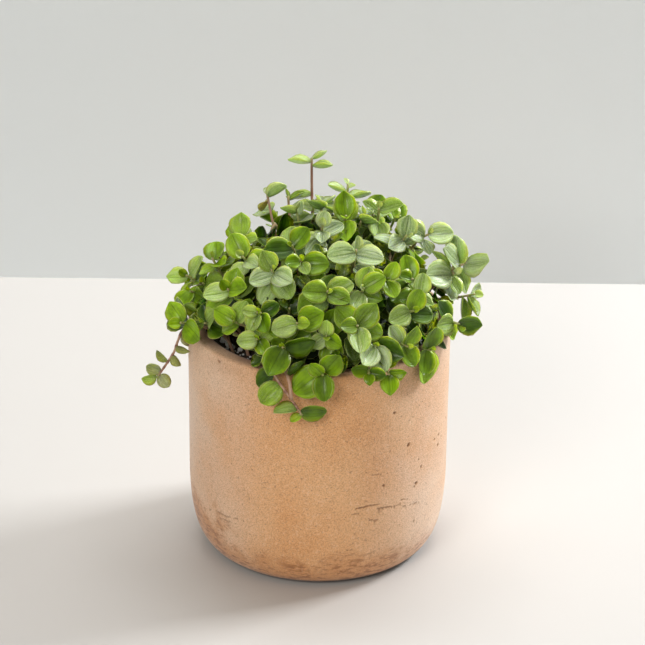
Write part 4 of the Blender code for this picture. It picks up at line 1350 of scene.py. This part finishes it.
def clay_finish(speckle):
    """Sandy unglazed clay: fine grains, sides paler with dust and a painted highlight, a worn and stained
    foot with a painted contact shadow, dirt in pits, and darker patches near the rim and inside
    """
    finish, tree, shader = new_finish("clay")
    places = own_places(tree)
    x, _, z = split(tree, places)
    grains = placed_group(tree, speckle, Scale=1400.0, Dark=0.58, Light=0.6)
    coarse = placed_group(tree, speckle, Scale=620.0, Dark=0.66, Light=0.68)
    colour = blended(tree, patches(tree, places, 24.0, 3.0, 0.3, 0.7), CLAY_DEEP, CLAY_LIGHT)
    # Paler left and right sides: partly dust, partly a painted highlight where the light grazes them
    dust_and_highlight = times(tree, patches(tree, places, 17.0, 4.0, 0.34, 0.66, 0.6), 0.6, 0.25)
    dust_and_highlight = times(tree, dust_and_highlight, ramp(tree, math_node(tree, "ABSOLUTE", x), *DUST_AND_HIGHLIGHT_SIDES))
    colour = tinted(tree, colour, dust_and_highlight, 0.75, CLAY_DUST_AND_HIGHLIGHT)
    sand = blended(tree, ramp(tree, grains["Grain"], 0.36, 0.62), CLAY_SAND, WHITE)
    colour = blended(tree, 0.85, colour, sand, "MULTIPLY")
    colour = tinted(tree, colour, grains["Dark"], 0.45, DARK_GRAIN)
    colour = tinted(tree, colour, grains["Light"], 0.2, LIGHT_GRAIN)
    colour = tinted(tree, colour, coarse["Dark"], 0.5, COARSE_GRAIN)
    streaks = noise_node(tree, own_places(tree, (1.0, 1.0, 3.0)), 170.0, 6.0, 0.7)
    colour = foot_wear_and_shadow(tree, places, colour, streaks)
    # Darker in patches near the top of the pot
    high = times(tree, ramp(tree, z, *RIM_BAND), patches(tree, places, 45.0, 4.0, 0.3, 0.7))
    colour = tinted(tree, colour, high, 0.3, RIM_DARKER)
    # Darker in patches inside the pot and on the inner half of its rim
    colour = blended(tree, carried(tree, "damp"), colour, CLAY_DARKENED)
    colour = tinted(tree, colour, carried(tree, "pit"), 0.75, PIT_DIRT)
    feed_all(tree, shader, {
        "Base Color": colour, "Roughness": 0.9, "Specular IOR Level": 0.25,
        "Sheen Weight": 0.3, "Sheen Roughness": 0.5})
    relief = times(tree, grains["Grain"], 0.9, times(tree, streaks, 0.3))
    bumped(tree, shader, times(tree, coarse["Dark"], -0.6, relief), 0.6, 0.0003)
    return finish


def soil_finish(speckle):
    """Dark, moist potting mix"""
    finish, tree, shader = new_finish("soil")
    grains = placed_group(tree, speckle, Scale=900.0, Dark=0.5, Light=0.66)
    lumps = patches(tree, own_places(tree), 300.0, 4.0, 0.35, 0.65)
    colour = tinted(tree, blended(tree, lumps, *SOIL_COLOURS), grains["Light"], 0.5, SOIL_GRAIN)
    feed_all(tree, shader, {"Base Color": colour, "Roughness": times(tree, lumps, 0.3, 0.6)})
    bumped(tree, shader, grains["Grain"], 0.8, 0.0005)
    return finish


def chip_finish(name, speckle, colours, rough):
    """Bark or perlite"""
    finish, tree, shader = new_finish(name)
    grains = placed_group(tree, speckle, Scale=1600.0, Dark=0.55, Light=0.6)
    colour = blended(tree, grains["Grain"], *colours)
    feed_all(tree, shader, {"Base Color": colour, "Roughness": rough})
    bumped(tree, shader, grains["Grain"], 0.5, 0.0003)
    return finish


def stage_finish(name, colour, rough):
    """The plain floor and backdrop"""
    finish, tree, shader = new_finish(name)
    shade = noise_node(tree, own_places(tree), 6.0, 3.0)
    colour = blended(tree, shade, colour, tuple(channel * 0.97 for channel in colour))
    feed_all(tree, shader, {"Base Color": colour, "Roughness": rough, "Specular IOR Level": 0.2})
    return finish


# Leaves


def fine_width(share, tip):
    """The blade's half width at a share of its length, rounder than its solid's and drawn in to its tip"""
    return min(share**0.5 * (1.0 - share) ** 0.55 / 0.487, tip * (1.0 - share) ** 0.85)


def leaf_template(name, columns, rows, tip, finishes):
    """A flat blade one long and one wide: a grid drawn in to the outline, with a groove and an underside"""
    bpy.ops.mesh.primitive_grid_add(
        x_subdivisions=columns, y_subdivisions=rows, size=1.0, location=(0, 0.5, 0))
    leaf = bpy.context.object
    leaf.name = name
    bpy.ops.object.transform_apply(location=True, rotation=False, scale=False)
    edit(leaf)
    row_of = {vertex.index: round(vertex.co.y * rows) for vertex in leaf.data.vertices}
    column_of = {index: index % (columns + 1) for index in row_of}
    for row in range(rows + 1):
        pick(leaf, "verts", lambda vertex: row_of[vertex.index] == row)
        share = ((1 - cos(pi * row / rows)) / 2) ** 0.94
        wide = max(fine_width(min(share, 1.0), tip), 0.001) if 0 < row < rows else 0.0001
        bpy.ops.transform.resize(value=(wide, 1, 1), center_override=(0, row / rows, 0))
        bpy.ops.transform.translate(value=(0, share - row / rows, 0))
    ends = {index for index, row in row_of.items() if row in (0, rows)}
    middle = {index for index, column in column_of.items() if column == columns // 2} - ends
    beside = {index for index, column in column_of.items() if abs(column - columns // 2) == 1}
    edges = {index for index, column in column_of.items() if column in (0, columns)} | ends
    shift(leaf, middle, -GROOVE)
    shift(leaf, beside - ends, GROOVE * 0.3)
    add_underside(leaf, len(row_of), middle, beside, edges, ends)
    close_up(BLADE_WELD, False)
    dressed(leaf, *finishes)
    smooth(leaf)
    return leaf


def add_underside(leaf, count, middle, beside, edges, ends):
    """A second, coarser skin under the first, which meets it at the margin"""
    bpy.ops.mesh.select_all(action="SELECT")
    bpy.ops.mesh.duplicate()
    bpy.ops.mesh.flip_normals()
    shift(leaf, {index + count for index in range(count) if index not in edges}, -BLADE_BODY)
    shift(leaf, {index + count for index in middle}, -KEEL)
    pick(leaf, "faces", lambda face: all(vertex.index >= count for vertex in face.verts))
    shape = bmesh.from_edit_mesh(leaf.data)
    for face in shape.faces:
        face.material_index = 1 if face.select else 0
    bmesh.update_edit_mesh(leaf.data)
    spare = {index + count for index in beside}
    pick(leaf, "edges", lambda edge: all(vertex.index in spare for vertex in edge.verts)
         and not all(vertex.index - count in ends for vertex in edge.verts))
    bpy.ops.mesh.dissolve_edges(use_verts=True)


def leaf_values(shoot, leaf):
    """What the finish needs to know of one leaf"""
    lime, silver = TONES.get(shoot["name"], USUAL_TONE)
    lime += random.Random(shoot["name"] + " tone").uniform(-0.12, 0.12)
    rank, tone = leaf["rank"], leaf["tone"]
    lower = held((rank - shoot["outer"] + 2) / 3)
    drawn = random.Random(f"{shoot['name']} {rank} kind").random()
    pale = 1 if drawn < PALE_SHARE else 0
    dark = 1 if drawn > 1 - DARK_SHARE and silver < PALEST else 0
    young = 1 if rank < 2 else 0
    # Lower and inner leaves are painted darker and duller, as painted shade; some other leaves are darker at
    # random
    return {
        "lime": held(lime + 0.5 * (tone - 0.5) + 0.15 * young - 0.4 * lower - 0.25 * dark),
        "silver": held(silver + 0.4 * (tone - 0.5) - 0.4 * lower + 0.5 * pale - 0.3 * dark),
        "shade": 0.88 * lower * (1.15 - 0.5 * tone) + 0.28 * dark * (1 - lower),
        "purple": 0.35 + 0.4 * tone if shoot["name"] in PURPLE_SHOOTS and rank > 0 else 0.0,
        "dry": 0.9 if shoot["name"] in DRY_SHOOTS and rank == DRY_RANK else 0.0,
    }


def leaf_kind(shoot, leaf):
    """Which of the flat blades a leaf is copied from"""
    if leaf["rank"] >= shoot["outer"]:
        return "plain"
    drawn = random.Random(f"{shoot['name']} {leaf['rank']} tip").random() < POINTED_SHARE
    return "pointed" if drawn or shoot["name"] in POINTED_SHOOTS else "round"


def leaf_copy(template, flat, shoot, leaf):
    """A copy of the flat blade with its own size, cup, bend, twist and ripple, put in its place"""
    chance = random.Random(f"{shoot['name']} {leaf['rank']} blade")
    length, share = leaf["length"], flat[:, 1]
    across = flat[:, 0] * leaf["width"]
    lift = flat[:, 2] * length
    lift += leaf["cup"] * (np.sqrt(across**2 + 1.0) - 1.0) * FINE_CUP
    lift -= HOLLOW * length * np.sin(np.pi * share) * (1 - (2 * flat[:, 0]) ** 2)
    lift += leaf["bend"] * length * share**2
    side = np.abs(flat[:, 0]) * 2
    phase = chance.uniform(0, 6.28)
    ripple = RIPPLE * chance.uniform(0.3, 1.0) * side**2 * np.sin(share * RIPPLES + phase)
    lift += ripple * length / RIPPLE_LENGTH
    turn = np.radians(chance.uniform(-TWIST, TWIST)) * share
    mesh = template.data.copy()
    put_places(mesh, np.column_stack((
        across * np.cos(turn) - lift * np.sin(turn), share * length,
        across * np.sin(turn) + lift * np.cos(turn))))
    mesh.transform(Matrix.Scale(MM, 4) @ leaf["frame"])
    put_places(mesh, np.clip(places_of(mesh), cad_low, cad_high))
    for name, value in leaf_values(shoot, leaf).items():
        put_value(mesh, name, [value] * len(mesh.vertices))
    return placed("leaf", mesh)


# Stems


def tube(name, line, radii):
    """A smooth tube along a line, with its ends closed"""
    curve = bpy.data.curves.new(name, "CURVE")
    curve.dimensions = "3D"
    curve.bevel_depth = MM
    curve.bevel_resolution = (STEM_SIDES - 4) // 2
    curve.use_fill_caps = True
    spline = curve.splines.new("POLY")
    spline.points.add(len(line) - 1)
    for point, place, radius in zip(spline.points, line, radii):
        point.co = (*(place * MM), 1.0)
        point.radius = radius
    choose(placed(name, curve))
    bpy.ops.object.convert(target="MESH")
    whole = bpy.context.view_layer.objects.active
    edit(whole)
    close_up(STEM_WELD)
    return whole


def fine_stem(shoot, finish):
    """The stem as a smooth tube that swells at each joint"""
    line = smooth_line(shoot["line"], STEM_CUTS)
    if shoot["name"] == shoot["node"]:
        line.insert(0, line[0] - Vector((0, 0, STEM_BURIED)))
    steps = [0.0]
    for here, there in zip(line, line[1:]):
        steps.append(steps[-1] + (there - here).length)
    back = np.array([steps[-1] - step for step in steps])
    near = np.zeros(len(line))
    for rank in range(len(shoot["plan"])):
        near = np.maximum(near, np.exp(-(((back - leaf_distance(rank)) / JOINT_REACH) ** 2)))
    stem = tube("stem", line, [radius_at(shoot, distance) * STEM_TRIM * (1 + JOINT_SWELL * swell)
                               for distance, swell in zip(back, near)])
    dressed(stem, finish)
    middle = np.array([tuple(place * MM) for place in line])
    nearest = [int(np.argmin(((middle - place) ** 2).sum(1))) for place in places_of(stem.data)]
    green = BROWN_REACH if shoot["name"] in BROWN_SHOOTS else GREEN_REACH
    young = np.clip(1.4 - back[nearest] / green, 0, 1)
    put_value(stem.data, "sheath", near[nearest] * (1 - young))
    put_value(stem.data, "young", young)
    stem.data.shade_smooth()
    return stem


def make_shoots(shoots, templates, finish):
    """One piece for each leafy stem with its forks"""
    flats = {kind: places_of(template.data) for kind, template in templates.items()}
    for first in shoots:
        if first["name"] != first["node"]:
            continue
        pieces = []
        for shoot in (shoot for shoot in shoots if shoot["node"] == first["name"]):
            pieces.append(fine_stem(shoot, finish))
            for leaf in shoot["leaves"]:
                kind = leaf_kind(shoot, leaf)
                pieces.append(leaf_copy(templates[kind], flats[kind], shoot, leaf))
        kept(joined(f"{first['name']}_shoot", pieces), "foliage", first["name"])


# Pot


def pot_profile():
    """The pot's outline from the hollow's floor up its inner wall, over the rim and down to the underside"""
    low, high = FLOOR_THICK + INNER_CORNER, POT_HEIGHT - RIM_ROUND
    profile = [(0.0, FLOOR_THICK), (HOLLOW_RADIUS * FLOOR_ROW, FLOOR_THICK)]
    profile += inner_corner(0.0, FINE_CORNER)
    profile += [(HOLLOW_RADIUS, low + (high - low) * row / INNER_ROWS) for row in range(1, INNER_ROWS)]
    profile += [(HOLLOW_RADIUS + RIM_ROUND * (1 - cos(angle)), high + RIM_ROUND * sin(angle))
                for angle in quarter_turn(RIM_STEPS)]
    profile += [((HOLLOW_RADIUS + POT_RADIUS) / 2 + offset, POT_HEIGHT) for offset in RIM_ROWS]
    profile += [(POT_RADIUS - RIM_ROUND * (1 - sin(angle)), high + RIM_ROUND * cos(angle))
                for angle in quarter_turn(RIM_STEPS)]
    rows = round((high - FOOT_HEIGHT) / WALL_ROW)
    profile += [(POT_RADIUS - POT_TAPER * (row / rows), high + (FOOT_HEIGHT - high) * (row / rows))
                for row in range(1, rows)]
    profile += foot_curve(FINE_FOOT)
    profile += [(FOOT_RADIUS * share, 0.0) for share in UNDERSIDE_ROWS]
    return profile


def flaws_from(bearing, height, ragged):
    """How far a place is from the edge of each pit and crack in mm, with its half width and depth"""
    for mark, level, reach, deep in PITS:
        aside = radians(bearing - mark) * POT_RADIUS
        yield hypot(aside, height - level) - reach * (1 + 0.5 * ragged), reach, deep
    place = Vector((radians(bearing) * POT_RADIUS, height + 0.5 * ragged))
    for start, low, end, high, reach, deep in CRACKS:
        a = Vector((radians(start) * POT_RADIUS, low))
        b = Vector((radians(end) * POT_RADIUS, high))
        share = held((place - a).dot(b - a) / (b - a).length_squared)
        yield (place - a.lerp(b, share)).length - reach * (1 + 0.6 * ragged), reach, deep


def flaw_depth(place, ragged):
    """How deep the clay is eaten away at a place, and how near the place is to a flaw, in mm"""
    bearing = degrees(atan2(place.y, place.x))
    depth, near = 0.0, 99.0
    for away, reach, deep in flaws_from(bearing, place.z / MM, ragged):
        near = min(near, away)
        depth = max(depth, deep * held(0.3 - away / (0.7 * reach)))
    return depth, near


def on_wall(place):
    """Whether a place is on the pot's outer side, at the height of its flaws"""
    return hypot(place.x, place.y) > MID_WALL * MM and FLAWS_LOW < place.z < FLAWS_HIGH


def near_flaw(face):
    """Whether a face of the wall is in a flaw or beside one"""
    place = face.calc_center_median()
    return on_wall(place) and flaw_depth(place, 0.0)[1] < FLAW_MARGIN


def darkened_at(place, reach):
    """How much darker the clay is: in patches inside the pot and on the inner half of its rim"""
    inside = held((MID_WALL * MM - reach) / DARKENED_EDGE) if place.z > DARKENED_FROM else 0.0
    across = (POT_RADIUS * MM - reach) / (POT_WALL * MM)
    top = held(0.2 + across) if place.z > (POT_HEIGHT - 0.8) * MM else 0.0
    return max(inside, top) * held(0.8 + 0.6 * noise.noise(place * 60))


def make_pot(finish):
    """The clay pot, with pits and cracks in its wall"""
    pot = spun("clay_pot", pot_profile(), FINE_SIDES)
    edit(pot)
    pick(pot, "faces", near_flaw)
    bpy.ops.mesh.subdivide(number_cuts=FLAW_CUTS)
    leave_edit()
    pits, damp = [], []
    for vertex in pot.data.vertices:
        place = vertex.co
        reach = hypot(place.x, place.y)
        uneven = noise.noise(place * 22) * CLAY_UNEVEN + noise.noise(place * 75) * CLAY_UNEVEN * 0.4
        damp.append(darkened_at(place, reach))
        depth = 0.0
        if on_wall(place):
            depth = flaw_depth(place, noise.noise(place * 900) + 0.5 * noise.noise(place * 2100))[0]
        pits.append(min(depth / DIRTY_DEPTH, 1.0))
        if place.z > EVEN_LOW and reach > EVEN_NEAR:
            factor = 1 + (uneven - depth) * MM / reach
            place.x *= factor
            place.y *= factor
    put_value(pot.data, "pit", pits)
    put_value(pot.data, "damp", damp)
    dressed(pot, finish)
    smooth(pot, 50)
    kept(pot, "clay", "pot")


# Soil


def ground(x, y):
    """The soil's height at a place, in mm"""
    place = Vector((x, y, 0.0))
    lumps = noise.noise(place * 0.16) * 0.6 + noise.noise(place * 0.45) * 0.55
    return SOIL_TOP + soil_height(x, y) + CLOD * (lumps + noise.noise(place * 1.1) * 0.3)


def make_soil(finish):
    """The soil, with clods over its surface"""
    reach = HOLLOW_RADIUS - GAP
    profile = [(reach * ring / SOIL_FINE_RINGS, SOIL_TOP) for ring in range(SOIL_FINE_RINGS + 1)]
    profile += reversed(inner_corner(GAP, SOIL_CORNER_STEPS))
    profile += [(0.0, FLOOR_THICK + GAP)]
    soil = spun("potting_soil", profile, SOIL_FINE_SIDES)
    for vertex in soil.data.vertices:
        x, y, z = vertex.co / MM
        if z > SOIL_TOP - 1:
            vertex.co.z = ground(x, y) * MM
    dressed(soil, finish)
    smooth(soil)
    kept(soil, "soil", "soil")


def chip_template(name, flat, finish, seed):
    """A rough lump one across: a ball whose corners are pushed in and out"""
    bpy.ops.mesh.primitive_ico_sphere_add(subdivisions=2, radius=0.5)
    chip = bpy.context.object
    chip.name = name
    edit(chip)
    bpy.ops.mesh.select_all(action="SELECT")
    bpy.ops.transform.resize(value=(1.0, 0.8, flat), center_override=(0, 0, 0))
    leave_edit()
    chance = random.Random(seed)
    for vertex in chip.data.vertices:
        vertex.co *= chance.uniform(0.72, 1.12)
    dressed(chip, finish)
    return chip


def scatter(name, template, rows, raised):
    """Copies of a lump on the soil: each row has its place, its size, its turn and its lean"""
    pieces = []
    for x, y, size, turn, lean in rows:
        mesh = template.data.copy()
        spot = Matrix.Translation(Vector((x, y, ground(x, y) + size * raised)) * MM)
        mesh.transform(spot @ Matrix.Rotation(turn, 4, "Z") @ Matrix.Rotation(lean, 4, "X")
                       @ Matrix.Scale(size * MM, 4))
        pieces.append(placed(name, mesh))
    bpy.data.objects.remove(template)
    kept(joined(name, pieces), "soil")


def tossed(chance):
    """A chance turn and lean"""
    return chance.uniform(0, 6.28), chance.uniform(-0.5, 0.5)


def on_soil(chance, low, high):
    """A chance place on the soil with a size between two limits, a turn and a lean"""
    reach = (HOLLOW_RADIUS - FROM_WALL) * sqrt(chance.random())
    bearing = chance.uniform(0, 2 * pi)
    size = low + (high - low) * chance.random() ** 2
    return (reach * cos(bearing), reach * sin(bearing), size, *tossed(chance))


def make_grains(speckle):
    """White perlite and bark chips on the soil"""
    white = chip_finish("perlite", speckle, PERLITE_COLOURS, 0.85)
    brown = chip_finish("bark", speckle, BARK_COLOURS, 0.7)
    chance = random.Random(5)
    rows = [(*seen, *tossed(chance)) for seen in PERLITE_SEEN]
    rows += [on_soil(chance, *PERLITE_SIZES) for _ in range(PERLITE_COUNT)]
    flat, raised = PERLITE_SHAPE
    scatter("perlite_grains", chip_template("perlite", flat, white, 1), rows, raised)
    rows = [on_soil(chance, *BARK_SIZES) for _ in range(BARK_COUNT)]
    flat, raised = BARK_SHAPE
    scatter("bark_chips", chip_template("bark", flat, brown, 2), rows, raised)


# Stage, light and camera


def stage_sheet(name, place, lean, finish):
    """A wide flat sheet of the stage"""
    bpy.ops.mesh.primitive_plane_add(size=STAGE_SIZE, location=place, rotation=(lean, 0, 0))
    sheet = bpy.context.object
    sheet.name = name
    dressed(sheet, finish)
    return sheet


def make_stage():
    """A pale floor and a grey backdrop, which doesn't hide the pot from behind"""
    floor = stage_sheet("floor", (0, 0, 0), 0, stage_finish("pale floor", FLOOR_COLOUR, 0.6))
    grey = stage_finish("grey backdrop", BACKDROP_COLOUR, 0.9)
    tree = grey.node_tree
    either = put_node(tree, "MixShader", Fac=put_node(tree, "NewGeometry").outputs["Backfacing"])
    feed(tree, either.inputs[1], tree.nodes["Principled BSDF"].outputs[0])
    feed(tree, either.inputs[2], put_node(tree, "BsdfTransparent").outputs[0])
    feed(tree, tree.nodes["Material Output"].inputs["Surface"], either.outputs[0])
    wall = stage_sheet("backdrop", (0, WALL_FOOT, 0), pi / 2, grey)
    wall.visible_shadow = False


def add_light(name, bearing, lift, distance, size, power, colour):
    """A soft light on a bearing and lift from the pot, aimed at the plant"""
    data = bpy.data.lights.new(name, "AREA")
    data.shape = "RECTANGLE"
    data.size, data.size_y = size
    data.energy = power
    data.color = colour
    light = placed(name, data)
    way = heading(bearing, lift)
    light.location = LIGHT_AIM + way * distance
    light.rotation_euler = way.to_track_quat("Z", "Y").to_euler()


def make_light():
    """Soft daylight from the right and behind, with a broad fill"""
    for name, row in LIGHTS.items():
        add_light(name, *row)
    world = bpy.data.worlds.new("studio")
    bpy.context.scene.world = world
    world.use_nodes = True
    feed_all(world.node_tree, world.node_tree.nodes["Background"], {
        "Color": WORLD_COLOUR, "Strength": WORLD_STRENGTH})
    bpy.context.scene.view_settings.view_transform = "Standard"
    bpy.context.scene.view_settings.look = "None"


def make_camera():
    """The photograph's view"""
    pitch, roll = radians(CAMERA_PITCH), radians(CAMERA_ROLL)
    level = Vector((1, 0, 0))
    upright = Vector((0, sin(pitch), cos(pitch)))
    right = level * cos(roll) + upright * sin(roll)
    up = upright * cos(roll) - level * sin(roll)
    data = bpy.data.cameras.new("camera")
    data.lens = LENS
    data.sensor_width = SENSOR
    data.clip_end = 20.0
    camera = placed("camera", data)
    camera.matrix_world = Matrix.Translation(CAMERA_AIM + SIGHT * CAMERA_DISTANCE) @ Matrix(
        (right, up, SIGHT)).transposed().to_4x4()
    bpy.context.scene.camera = camera


def main():
    """Make every piece"""
    speckle = speckle_group()
    pattern = leaf_group()
    sides = [leaf_finish(name, pattern, *values) for name, values in LEAF_SIDES.items()]
    stem = stem_finish()
    make_camera()
    make_light()
    make_stage()
    make_pot(clay_finish(speckle))
    make_soil(soil_finish(speckle))
    make_grains(speckle)
    shoots, crowd = grow_plant()
    fill_out(shoots, crowd)
    templates = {kind: leaf_template(kind, *shape, sides) for kind, shape in BLADES.items()}
    make_shoots(shoots, templates, stem)
    for template in templates.values():
        bpy.data.objects.remove(template)


main()
